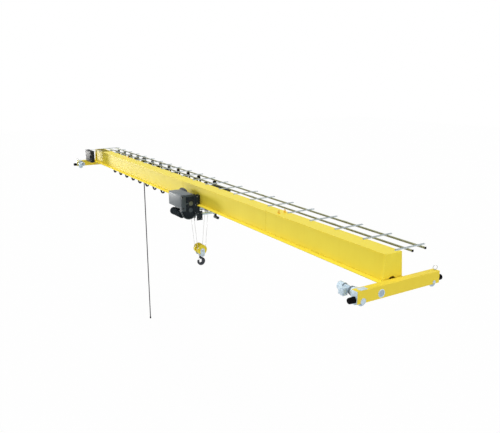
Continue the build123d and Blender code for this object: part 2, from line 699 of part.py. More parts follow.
def pendant_carrier():
    """Return the truck, bent arm and clamp that hold the pendant cable beside the outer loops."""
    half = PENDANT_CLAMP_WIDTH / 2
    x = pendant_x()
    truck_x = x - PENDANT_TRUCK_SHIFT
    stem = TRUCK_STEM_LENGTH / 2
    foot = PENDANT_TOP + PENDANT_CLAMP_HEIGHT
    top = foot + PENDANT_ARM_THICKNESS
    side = RAIL_OUTER_Y + TRUCK_STEM_WIDTH / 2
    clamp = block(x - half, x + half, PENDANT_Y - half, PENDANT_Y + half, PENDANT_TOP, foot)
    arm = block(truck_x - stem, x + half, PENDANT_Y - half, PENDANT_Y + half, foot, top)
    arm += block(truck_x - stem, truck_x + stem, PENDANT_Y - half, side, foot, top)
    return truck(truck_x, RAIL_OUTER_Y, top) + arm + clamp


def saddle_corners(x, y):
    """Return the four corner points that lead a cable over the saddle at X, nearest first."""
    arc = CABLE_ARC_RADIUS
    corner = CABLE_ARC_CORNER
    near = [(x + arc, y, SADDLE_Z + corner), (x + corner, y, SADDLE_Z + arc)]
    return near + [(2 * x - px, py, pz) for px, py, pz in reversed(near)]


def loop_route(places, y):
    """Return the corner points of a cable that hangs in loops between saddles, nearest first."""
    down = list(zip(LOOP_ACROSS_SHARES, LOOP_DOWN_SHARES))
    points = [(places[0] + CABLE_ARC_RADIUS, y, SADDLE_Z - CABLE_TAIL)]
    for x, following in zip(places, places[1:]):
        points += saddle_corners(x, y)
        centre = (x + following) / 2
        half = (x - following) / 2 - CABLE_ARC_RADIUS
        points += [(centre + half * share, y, SADDLE_Z - LOOP_DEPTH * depth) for share, depth in down]
        points += [(centre - half * share, y, SADDLE_Z - LOOP_DEPTH * depth) for share, depth in reversed(down)]
    points += saddle_corners(places[-1], y)
    points.append((places[-1] - CABLE_ARC_RADIUS, y, SADDLE_Z - CABLE_TAIL))
    return points


def route_radii(points):
    """Return the largest smooth arc radius at each inner corner of a route."""
    radii = []
    for before, corner, after in zip(points, points[1:], points[2:]):
        arriving = Vector(*corner) - Vector(*before)
        leaving = Vector(*after) - Vector(*corner)
        turn = arriving.get_angle(leaving)
        shorter = min(arriving.length, leaving.length)
        radii.append(0.45 * shorter / tan(radians(turn) / 2))
    return radii


def cable_tube(name, points, radius):
    """Return a tube along straight runs joined by tangent arcs."""
    radii = route_radii(points)
    path = FilletPolyline(*points, radius=radii)
    section = Plane(origin=points[0], z_dir=Vector(*points[1]) - Vector(*points[0])) * Circle(radius)
    tube = sweep(section, path=path)
    ratio = tube.volume / (Circle(radius).area * path.length)
    print(name, "least radius", round(min(radii)), "length", round(path.length), "volume ratio", round(ratio, 4))
    return tube


def pendant_cable():
    """Return the straight pendant cable."""
    return rod_z(PENDANT_CABLE_RADIUS, PENDANT_BOTTOM, PENDANT_TOP, pendant_x(), PENDANT_Y)


def pendant_connector():
    """Return the plug at the foot of the pendant cable."""
    x = pendant_x()
    low = PENDANT_BOTTOM - CONNECTOR_LENGTH
    neck_low = PENDANT_BOTTOM - CONNECTOR_NECK_LENGTH
    body = rod_z(CONNECTOR_RADIUS, low, neck_low, x, PENDANT_Y)
    neck = rod_z(CONNECTOR_NECK_RADIUS, neck_low, PENDANT_BOTTOM, x, PENDANT_Y)
    nut_low = low + CONNECTOR_NUT_LENGTH
    nut = rod_z(CONNECTOR_NUT_RADIUS, nut_low, nut_low + CONNECTOR_NUT_LENGTH, x, PENDANT_Y)
    socket = rod_z(CONNECTOR_NECK_RADIUS, low - OVERRUN, low + CONNECTOR_SOCKET, x, PENDANT_Y)
    return body + neck + nut - socket


def control_cabinet():
    """Return the closed control cabinet with its door line."""
    front = CABINET_BACK_Y - CABINET_DEPTH
    top = CABINET_FOOT + CABINET_HEIGHT
    body = block(CABINET_FAR_X, CABINET_NEAR_X, front, CABINET_BACK_Y, CABINET_FOOT, top)
    body = fillet(body.edges(), CABINET_EDGE_ROUND)
    door = []
    for inset in (CABINET_EDGE_ROUND * 3, CABINET_EDGE_ROUND * 3 + CABINET_DOOR_GAP):
        door.append(block(
            CABINET_FAR_X + inset, CABINET_NEAR_X - inset, front - OVERRUN, front + CABINET_DOOR_DEPTH,
            CABINET_FOOT + inset, top - inset,
        ))
    return body - (door[0] - door[1])


# Hoist trolley
def trolley_plates():
    """Return one side of the trolley: two wheel plates, a beam and the near and far ends."""
    inside = TROLLEY_PLATE_Y
    outside = inside + TROLLEY_PLATE_THICKNESS
    shape = None
    spread = TROLLEY_WHEEL_SPREAD / 2
    half = TROLLEY_PLATE_WIDTH / 2
    for x in (HOIST_X - spread, HOIST_X + spread):
        plate = block(x - half, x + half, inside, outside, TROLLEY_PLATE_FOOT, TROLLEY_PLATE_TOP)
        plate = fillet(plate.edges().filter_by(Axis.Y), TROLLEY_CORNER_ROUND)
        plate -= rod_y(TROLLEY_AXLE_RADIUS + RUNNING_CLEARANCE, inside - OVERRUN, outside + OVERRUN, x, TROLLEY_AXLE_Z)
        shape = plate if shape is None else shape + plate
    beam_foot = TROLLEY_PLATE_TOP - TROLLEY_CORNER_ROUND - TROLLEY_BEAM_HEIGHT
    shape += block(HOIST_X - spread, HOIST_X + spread, inside, outside, beam_foot, beam_foot + TROLLEY_BEAM_HEIGHT)
    for x in (HOIST_X - spread, HOIST_X + spread):
        shape -= rod_y(TROLLEY_AXLE_RADIUS + RUNNING_CLEARANCE, inside - OVERRUN, outside + OVERRUN, x, TROLLEY_AXLE_Z)
    return shape


def trolley_frame_back():
    """Return the trolley side behind the girder with the pin of the equalizer sheave."""
    shape = trolley_plates()
    inside = TROLLEY_PLATE_Y
    outside = inside + TROLLEY_PLATE_THICKNESS
    spread = TROLLEY_WHEEL_SPREAD / 2
    low = EQUALIZER_Z - EQUALIZER_PIN_RADIUS * 2
    shape += block(HOIST_X - spread, HOIST_X + spread, inside, outside, low, low + EQUALIZER_PIN_RADIUS * 4)
    return shape + rod_y(EQUALIZER_PIN_RADIUS, EQUALIZER_Y - EQUALIZER_WIDTH, inside, HOIST_X, EQUALIZER_Z)


def trolley_frame_front():
    """Return the trolley side in front of the girder."""
    return mirror(trolley_plates(), about=Plane.XZ)


def cross_tubes():
    """Return the two tubes that tie the trolley sides together under the girder."""
    spread = TROLLEY_WHEEL_SPREAD / 2
    inside = TROLLEY_PLATE_Y
    return [rod_y(CROSS_TUBE_RADIUS, -inside, inside, x, CROSS_TUBE_Z) for x in (HOIST_X - spread, HOIST_X + spread)]


def trolley_wheel(side_y, side_x):
    """Return one trolley wheel with its axle, on the given side of the girder and of the trolley."""
    half = TROLLEY_WHEEL_WIDTH / 2
    wheel = rod_y(TROLLEY_WHEEL_RADIUS, -half, half, 0, 0)
    rim = rod_y(TROLLEY_WHEEL_RIM, half, half + TROLLEY_RIM_WIDTH, 0, 0)
    reach = TROLLEY_PLATE_Y + TROLLEY_PLATE_THICKNESS - TROLLEY_WHEEL_Y
    axle = rod_y(TROLLEY_AXLE_RADIUS, half, reach, 0, 0)
    shape = wheel + rim + axle
    if side_y < 0:
        shape = mirror(shape, about=Plane.XZ)
    x = HOIST_X + side_x * TROLLEY_WHEEL_SPREAD / 2
    return Pos(x, side_y * TROLLEY_WHEEL_Y, TROLLEY_AXLE_Z) * shape


def trolley_drive():
    """Return the trolley travel drive: gear case outside the back plate, motor under the plate."""
    x = HOIST_X + TROLLEY_WHEEL_SPREAD / 2
    half = DRIVE_BOX_LENGTH / 2
    inside = TROLLEY_PLATE_OUTSIDE
    outside = inside + DRIVE_BOX_DEPTH
    foot = DRIVE_BOX_TOP - DRIVE_BOX_HEIGHT
    box = block(x - half, x + half, inside, outside, foot, DRIVE_BOX_TOP)
    box = fillet(box.edges().filter_by(Axis.Y), DRIVE_BOX_LENGTH / 3)
    y = outside - TROLLEY_MOTOR_RADIUS
    motor = rod_x(TROLLEY_MOTOR_RADIUS, x, x + TROLLEY_MOTOR_LENGTH, y, foot + TROLLEY_MOTOR_RADIUS)
    motor = fillet(motor.edges().filter_by(GeomType.CIRCLE).sort_by(Axis.X)[-1], TROLLEY_MOTOR_RADIUS / 5)
    return box + motor


def tow_arm():
    """Return the post on the back trolley plate and the tow bar beside the girder top."""
    x = HOIST_X + TROLLEY_WHEEL_SPREAD / 2
    half = TOW_POST_WIDTH / 2
    outside = TROLLEY_PLATE_OUTSIDE
    low = TOW_BAR_TOP - TOW_BAR_HEIGHT
    bar_half = TOW_BAR_WIDTH / 2
    foot = TROLLEY_PLATE_TOP - TROLLEY_CORNER_ROUND - TROLLEY_BEAM_HEIGHT
    post = block(x - half, x + half, outside, outside + TOW_POST_THICKNESS, foot, TOW_BAR_TOP)
    arm = block(x - half, x + half, TOW_BAR_Y - bar_half, outside + TOW_POST_THICKNESS, low, TOW_BAR_TOP)
    end = HOIST_X + TOW_BAR_END
    bar = block(HOIST_X + TOW_BAR_START, end, TOW_BAR_Y - bar_half, TOW_BAR_Y + bar_half, low, TOW_BAR_TOP)
    drop = block(end - TOW_BAR_HEIGHT, end, TOW_BAR_Y - bar_half, TOW_BAR_Y + bar_half, low - TOW_END_DROP, low)
    return post + arm + bar + drop


# Hoist
def hoist_cover():
    """Return the grey electrical housing, relieved around the gear case and the drum."""
    cover = block(HOIST_FAR, HOIST_NEAR, COVER_FRONT_Y, COVER_BACK_Y, COVER_FOOT, COVER_TOP)
    cover = fillet(cover.edges().filter_by(Axis.X), COVER_EDGE_ROUND)
    case = GEARCASE_RADIUS + COVER_RELIEF
    cover -= rod_x(case, HOIST_NEAR - GEARCASE_LENGTH - COVER_RELIEF, HOIST_NEAR + OVERRUN, GEARCASE_Y, GEARCASE_Z)
    guard = GUARD_PLATE_RADIUS + COVER_RELIEF
    return cover - rod_x(guard, HOIST_FAR + FAR_FRAME_THICKNESS, HOIST_NEAR + OVERRUN, DRUM_Y, DRUM_Z)


def hoist_frame():
    """Return the hoist frame: gear case with its end plate, far frame and drum guard."""
    near = HOIST_NEAR
    plate_face = HOIST_PLATE_FACE
    margin = HOIST_PLATE_MARGIN
    front = COVER_FRONT_Y - margin
    back = -TROLLEY_PLATE_OUTSIDE
    rim = GEARCASE_RADIUS + END_PLATE_RIM
    case_start = near - GEARCASE_LENGTH
    shape = rod_x(GEARCASE_RADIUS, case_start, near, GEARCASE_Y, GEARCASE_Z)
    plate = rod_x(rim, near, plate_face, GEARCASE_Y, GEARCASE_Z)
    plate += block(near, plate_face, front, back, HOIST_PLATE_FOOT, COVER_TOP + margin)
    shape += plate
    shape -= block(case_start - OVERRUN, plate_face + OVERRUN, back, OVERRUN, -COVER_TOP, JAW_FOOT)
    shape += block(near, plate_face, back - OVERRUN, JAW_REACH_Y, JAW_FOOT, JAW_TOP)
    cheek_face = plate_face + CHEEK_THICKNESS
    cheek_front = back - CHEEK_OVERLAP
    shape += block(plate_face, cheek_face, cheek_front, JAW_REACH_Y, HORN_FOOT, JAW_TOP)
    shape += block(plate_face, cheek_face, cheek_front, CHEEK_REACH_Y, CHEEK_FOOT, CHEEK_TOP)
    shape += block(plate_face, cheek_face, cheek_front, back, CHEEK_TOP, HORN_FOOT)
    for y, z in ((UPPER_BOSS_Y, UPPER_BOSS_Z), (LOWER_BOSS_Y, LOWER_BOSS_Z)):
        shape += rod_x(BOSS_RADIUS, plate_face, plate_face + BOSS_HEIGHT, y, z)
    far_end = HOIST_FAR + FAR_FRAME_THICKNESS
    shape += block(HOIST_FAR, far_end, FAR_FRAME_FRONT_Y, back, FAR_FRAME_FOOT, COVER_FOOT)
    shape += drum_guard(far_end, case_start)
    bore = DRUM_SHAFT_RADIUS + RUNNING_CLEARANCE
    return shape - rod_x(bore, HOIST_FAR - OVERRUN, near - GEARCASE_LENGTH / 2, DRUM_Y, DRUM_Z)


def drum_guard(start, end):
    """Return the bent plate round the front and underside of the drum."""
    outer = GUARD_PLATE_RADIUS
    shell = rod_x(outer, start, end, DRUM_Y, DRUM_Z)
    shell -= rod_x(outer - GUARD_PLATE_THICKNESS, start - OVERRUN, end + OVERRUN, DRUM_Y, DRUM_Z)
    reach = outer + OVERRUN
    back = block(start - OVERRUN, end + OVERRUN, DRUM_Y, DRUM_Y + reach, DRUM_Z - reach, DRUM_Z + reach)
    return shell - back


def rope_drum():
    """Return the grooved rope drum with end flanges and shaft ends."""
    start = HOIST_X - DRUM_LENGTH / 2
    end = HOIST_X + DRUM_LENGTH / 2
    drum = rod_x(DRUM_RADIUS, start, end, DRUM_Y, DRUM_Z)
    drum -= rod_x(DRUM_RADIUS - DRUM_WALL, start + DRUM_END_THICKNESS, end - DRUM_END_THICKNESS, DRUM_Y, DRUM_Z)
    pitch = (DRUM_LENGTH - DRUM_FLANGE_LENGTH * 4) / DRUM_GROOVE_COUNT
    first = start + DRUM_FLANGE_LENGTH * 2 + pitch / 2
    for index in range(DRUM_GROOVE_COUNT):
        x = first + pitch * index
        ring = rod_x(DRUM_RADIUS + OVERRUN, x - DRUM_GROOVE_WIDTH / 2, x + DRUM_GROOVE_WIDTH / 2, DRUM_Y, DRUM_Z)
        ring -= rod_x(DRUM_RADIUS - DRUM_GROOVE_DEPTH, x - DRUM_GROOVE_WIDTH, x + DRUM_GROOVE_WIDTH, DRUM_Y, DRUM_Z)
        drum -= ring
    drum += rod_x(DRUM_FLANGE_RADIUS, start, start + DRUM_FLANGE_LENGTH, DRUM_Y, DRUM_Z)
    drum += rod_x(DRUM_FLANGE_RADIUS, end - DRUM_FLANGE_LENGTH, end, DRUM_Y, DRUM_Z)
    shaft_end = HOIST_NEAR - GEARCASE_LENGTH / 2 - DRUM_FLANGE_LENGTH
    return drum + rod_x(DRUM_SHAFT_RADIUS, HOIST_FAR, shaft_end, DRUM_Y, DRUM_Z)


def hoist_motor():
    """Return the finned hoist motor with its fan cowl."""
    end = HOIST_NEAR - GEARCASE_LENGTH
    start = end - HOIST_MOTOR_LENGTH
    body = finned_motor(
        HOIST_MOTOR_RADIUS, HOIST_MOTOR_LENGTH - HOIST_COWL_LENGTH, HOIST_FIN_COUNT, HOIST_FIN_WIDTH, HOIST_FIN_DEPTH
    )
    body = Pos(start + HOIST_COWL_LENGTH, HOIST_MOTOR_Y, HOIST_MOTOR_Z) * body
    cowl = rod_x(HOIST_COWL_RADIUS, start, start + HOIST_COWL_LENGTH, HOIST_MOTOR_Y, HOIST_MOTOR_Z)
    cowl = fillet(cowl.edges().filter_by(GeomType.CIRCLE).sort_by(Axis.X)[0], HOIST_COWL_LENGTH / 6)
    return body + cowl


# Ropes and sheaves
def sheave(radius, rim_radius, hub_half, bore):
    """Return a grooved sheave about X at the origin."""
    web = SHEAVE_WEB_THICKNESS / 2
    side = SHEAVE_WIDTH / 2
    inner_rim = rim_radius - SHEAVE_RIM_DEPTH
    half = [
        (hub_half, bore), (hub_half, SHEAVE_HUB_RADIUS), (web, SHEAVE_HUB_RADIUS), (web, inner_rim),
        (side, inner_rim), (side, rim_radius), (SHEAVE_LIP_HALF, rim_radius), (SHEAVE_GROOVE_HALF, radius),
    ]
    points = half + [(-x, r) for x, r in reversed(half)]
    return revolve(Plane.XZ * make_face(Polyline(*points, close=True)), Axis.X)


def equalizer_sheave():
    """Return the sheave that joins the two back falls, on its pin behind the girder."""
    radius = FALL_SPREAD / 2 - ROPE_RADIUS - ROPE_SEAT
    half = EQUALIZER_WIDTH / 2
    side = EQUALIZER_GROOVE_WIDTH / 2
    wheel = rod_y(radius + ROPE_RADIUS * 2, EQUALIZER_Y - half, EQUALIZER_Y + half, HOIST_X, EQUALIZER_Z)
    groove = rod_y(radius + OVERRUN, EQUALIZER_Y - side, EQUALIZER_Y + side, HOIST_X, EQUALIZER_Z)
    groove -= rod_y(radius, EQUALIZER_Y - half, EQUALIZER_Y + half, HOIST_X, EQUALIZER_Z)
    bore = EQUALIZER_PIN_RADIUS + RUNNING_CLEARANCE
    return wheel - groove - rod_y(bore, EQUALIZER_Y - half * 2, EQUALIZER_Y + half * 2, HOIST_X, EQUALIZER_Z)


def fall_places():
    """Return the X places of the two block sheaves."""
    return (HOIST_X - FALL_SPREAD / 2, HOIST_X + FALL_SPREAD / 2)


def rope_falls_front():
    """Return the two falls between the drum and the block."""
    falls = []
    top_y = DRUM_Y + DRUM_RADIUS + ROPE_RADIUS + ROPE_SEAT
    low_y = SHEAVE_RADIUS + ROPE_RADIUS + ROPE_SEAT
    for x in fall_places():
        falls.append(rod_between((x, -low_y, BLOCK_Z), (x + FRONT_FALL_SHIFT, top_y, DRUM_Z), ROPE_RADIUS))
    return falls


def rope_falls_back():
    """Return the two falls between the block and the equalizer sheave."""
    falls = []
    low_y = SHEAVE_RADIUS + ROPE_RADIUS + ROPE_SEAT
    for x in fall_places():
        falls.append(rod_between((x, low_y, BLOCK_Z), (x, EQUALIZER_Y, EQUALIZER_Z), ROPE_RADIUS))
    return falls


# Bottom block and hook
def block_guards():
    """Return the two round sheave guards with slots for the falls."""
    guards = []
    half = GUARD_WIDTH / 2
    wall = GUARD_WALL
    pin = BLOCK_PIN_RADIUS + RUNNING_CLEARANCE
    for x in fall_places():
        guard = rod_x(GUARD_RADIUS, x - half, x + half, 0, BLOCK_Z)
        guard = fillet(guard.edges().filter_by(GeomType.CIRCLE), GUARD_EDGE_ROUND)
        guard -= rod_x(GUARD_RADIUS - wall, x - half + wall, x + half - wall, 0, BLOCK_Z)
        guard -= rod_x(pin, x - GUARD_WIDTH, x + GUARD_WIDTH, 0, BLOCK_Z)
        slot = GUARD_SLOT_WIDTH / 2
        low = SHEAVE_RADIUS - GUARD_SLOT_WIDTH * 2 / 3
        for side in (-1, 1):
            y0, y1 = sorted((side * low, side * (GUARD_RADIUS + OVERRUN)))
            high = BLOCK_Z + GUARD_RADIUS + OVERRUN
            guard -= block(x - slot, x + slot, y0, y1, BLOCK_Z + GUARD_SLOT_WIDTH, high)
        guards.append(guard)
    return guards


def block_sheaves():
    """Return the two sheaves that turn on the block pin."""
    hub = GUARD_WIDTH / 2 - GUARD_WALL - SHEAVE_SIDE_CLEARANCE
    wheel = sheave(SHEAVE_RADIUS, SHEAVE_RIM_RADIUS, hub, BLOCK_PIN_RADIUS + RUNNING_CLEARANCE)
    return [Pos(x, 0, BLOCK_Z) * wheel for x in fall_places()]


def block_outer_face():
    """Return how far the outer face of the block guards lies from the block middle."""
    return FALL_SPREAD / 2 + GUARD_WIDTH / 2


def block_side_plates():
    """Return the two oblong side plates that link the sheave pin and the crosshead."""
    face = block_outer_face()
    outline = SlotCenterToCenter(SIDE_PLATE_HEIGHT - SIDE_PLATE_WIDTH, SIDE_PLATE_WIDTH, rotation=90)
    plate = extrude(Plane.YZ * (Pos(0, SIDE_PLATE_Z) * outline), SIDE_PLATE_THICKNESS)
    pin = rod_x(BLOCK_PIN_RADIUS + RUNNING_CLEARANCE, -OVERRUN, OVERRUN, 0, BLOCK_Z)
    trunnion = rod_x(TRUNNION_RADIUS + RUNNING_CLEARANCE, -OVERRUN, OVERRUN, 0, TRUNNION_Z)
    plate = plate - pin - trunnion
    return [Pos(HOIST_X + face, 0, 0) * plate, Pos(HOIST_X - face - SIDE_PLATE_THICKNESS, 0, 0) * plate]


def block_crosshead():
    """Return the sheave pin and the crosshead with its trunnions."""
    reach = block_outer_face() + SIDE_PLATE_THICKNESS
    pin = rod_x(BLOCK_PIN_RADIUS, HOIST_X - reach, HOIST_X + reach, 0, BLOCK_Z)
    half = CROSSHEAD_HEIGHT / 2
    length = CROSSHEAD_LENGTH / 2
    depth = CROSSHEAD_DEPTH / 2
    head = block(HOIST_X - length, HOIST_X + length, -depth, depth, TRUNNION_Z - half, TRUNNION_Z + half)
    head = fillet(head.edges().filter_by(Axis.Z), CROSSHEAD_HEIGHT / 5)
    head += rod_x(TRUNNION_RADIUS, HOIST_X - reach, HOIST_X + reach, 0, TRUNNION_Z)
    bore = SHANK_RADIUS + RUNNING_CLEARANCE
    head -= rod_z(bore, TRUNNION_Z - half - OVERRUN, TRUNNION_Z + half + OVERRUN, HOIST_X, 0)
    return [pin, head]


def hook_outline():
    """Return the flat outline of the hook, with Y across and Z up."""
    body = Pos(HOOK_OUTER_Y, HOOK_OUTER_Z) * Circle(HOOK_OUTER_RADIUS)
    neck_top = TRUNNION_Z - CROSSHEAD_HEIGHT / 2 - ROPE_SEAT
    neck_foot = HOOK_NECK_Z - HOOK_NECK_RADIUS
    neck = Pos(0, (neck_top + neck_foot) / 2) * Rectangle(HOOK_NECK_RADIUS * 2, neck_top - neck_foot)
    bowl = Pos(0, HOOK_BOWL_Z + HOOK_BOWL_STRETCH / 2)
    bowl = bowl * SlotCenterToCenter(HOOK_BOWL_STRETCH, HOOK_BOWL_RADIUS * 2, rotation=90)
    reach = HOOK_OUTER_RADIUS * 2
    mouth = make_face(Polyline(
        (-reach, HOOK_TIP_Z - HOOK_TIP_SLOPE * 3), (-HOOK_BOWL_RADIUS * 3 / 2, HOOK_TIP_Z),
        (-HOOK_NECK_RADIUS / 2, HOOK_TIP_Z), (-HOOK_NECK_RADIUS, HOOK_NECK_Z - HOOK_NECK_RADIUS / 2),
        (-HOOK_NECK_RADIUS, HOOK_NECK_Z + reach), (-reach, HOOK_NECK_Z + reach), close=True,
    ))
    outline = body + neck - bowl - mouth
    return fillet(outline.vertices(), HOOK_CORNER_ROUND)


def hook():
    """Return the forged hook with its shank and nut."""
    half = HOOK_THICKNESS / 2
    body = extrude(Plane.YZ * hook_outline(), half, both=True)
    body = fillet(body.faces().filter_by(Axis.X).edges(), HOOK_EDGE_ROUND)
    low = TRUNNION_Z - CROSSHEAD_HEIGHT / 2 - ROPE_SEAT
    top = TRUNNION_Z + CROSSHEAD_HEIGHT / 2 + ROPE_SEAT
    body += rod_z(SHANK_RADIUS, low - OVERRUN, top + NUT_HEIGHT, 0, 0)
    body += Pos(0, 0, top) * extrude(RegularPolygon(NUT_RADIUS, 6), NUT_HEIGHT)
    body += latch_ears()
    return Pos(HOIST_X, 0, 0) * body


def latch_ears():
    """Return the two ears on the hook neck with the pin of the latch between them."""
    inner = LATCH_WIDTH / 2 + LATCH_SIDE_CLEARANCE
    outer = inner + LATCH_EAR_THICKNESS
    pin = rod_x(LATCH_PIN_RADIUS, -outer, outer, LATCH_PIN_Y, LATCH_PIN_Z)
    ears = []
    root = -HOOK_NECK_RADIUS + HOOK_CORNER_ROUND
    for x0, x1 in ((-outer, -inner), (inner, outer)):
        ear = rod_x(LATCH_EAR_RADIUS, x0, x1, LATCH_PIN_Y, LATCH_PIN_Z)
        low = LATCH_PIN_Z - LATCH_EAR_RADIUS
        ears.append(ear + block(x0, x1, LATCH_PIN_Y, root, low, low + 2 * LATCH_EAR_RADIUS))
    return ears[0] + ears[1] + pin


def hook_latch():
    """Return the safety latch: a barrel on the pin and a blade that rests inside the hook tip."""
    half = LATCH_WIDTH / 2
    barrel = rod_x(LATCH_BARREL_RADIUS, -half, half, LATCH_PIN_Y, LATCH_PIN_Z)
    face = LATCH_SEAT - HOOK_BOWL_RADIUS
    blade = block(-half, half, face, face + LATCH_THICKNESS, LATCH_PIN_Z - LATCH_LENGTH, LATCH_PIN_Z)
    bore = rod_x(LATCH_PIN_RADIUS + LATCH_PIN_CLEARANCE, -OVERRUN, OVERRUN, LATCH_PIN_Y, LATCH_PIN_Z)
    return Pos(HOIST_X, 0, 0) * (barrel + blade - bore)


def main():
    """Build every sub-part and write it."""
    os.makedirs("parts", exist_ok=True)
    write("girder_top_flange", girder_top_flange())
    write("girder_bottom_flange", girder_bottom_flange())
    write("girder_webs", girder_webs())
    write("girder_end_plates", girder_end_plates())
    write("lifting_lugs", lifting_lugs())
    write("carriages", both_ends(carriage_body()))
    write("axle_caps", axle_caps())
    write("buffers", buffers())
    write("travel_drives", both_ends(travel_drive()))
    for end, side in (("near", 1), ("far", -1)):
        for place, y in (("front", -WHEEL_BASE / 2), ("back", WHEEL_BASE / 2)):
            write(f"carriage_wheel_{end}_{place}", carriage_wheel(side, y))
    write("bracket_arms", bracket_arms())
    write("cable_rails", cable_rails())
    write("rail_end_caps", rail_end_caps())
    write("cable_trolleys_inner", trolley_row(inner_places(), RAIL_INNER_Y))
    write("cable_trolleys_outer", trolley_row(outer_places(), RAIL_OUTER_Y) + [pendant_carrier()])
    write("loop_cable_inner", cable_tube("inner", loop_route(inner_places(), RAIL_INNER_Y), CABLE_RADIUS))
    write("loop_cable_outer", cable_tube("outer", loop_route(outer_places(), RAIL_OUTER_Y), CABLE_RADIUS))
    write("pendant_cable", pendant_cable())
    write("pendant_connector", pendant_connector())
    write("control_cabinet", control_cabinet())
    write("trolley_frame_front", trolley_frame_front())
    write("trolley_frame_back", trolley_frame_back())
    write("cross_tubes", cross_tubes())
    for place, side_y in (("front", -1), ("back", 1)):
        for end, side_x in (("near", 1), ("far", -1)):
            write(f"trolley_wheel_{place}_{end}", trolley_wheel(side_y, side_x))
    write("trolley_drive", trolley_drive())
    write("tow_arm", tow_arm())
    write("hoist_cover", hoist_cover())
    write("hoist_frame", hoist_frame())
    write("rope_drum", rope_drum())
    write("hoist_motor", hoist_motor())
    write("equalizer_sheave", equalizer_sheave())
    write("rope_falls_front", rope_falls_front())
    write("rope_falls_back", rope_falls_back())
    write("block_guards", block_guards())
    write("block_sheaves", block_sheaves())
    write("block_side_plates", block_side_plates())
    write("block_crosshead", block_crosshead())
    write("hook", hook())
    write("hook_latch", hook_latch())


main()
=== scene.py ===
"""Looks of an overhead bridge crane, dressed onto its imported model.

Lengths are in metres in the model's own frame: X runs along the girder, Y points to the side that carries
the cables, and Z points up from the tops of the runway rails.
"""
from __future__ import annotations

import json
import logging
import math
import sys
from dataclasses import dataclass
from enum import Enum
from typing import Iterable, Sequence

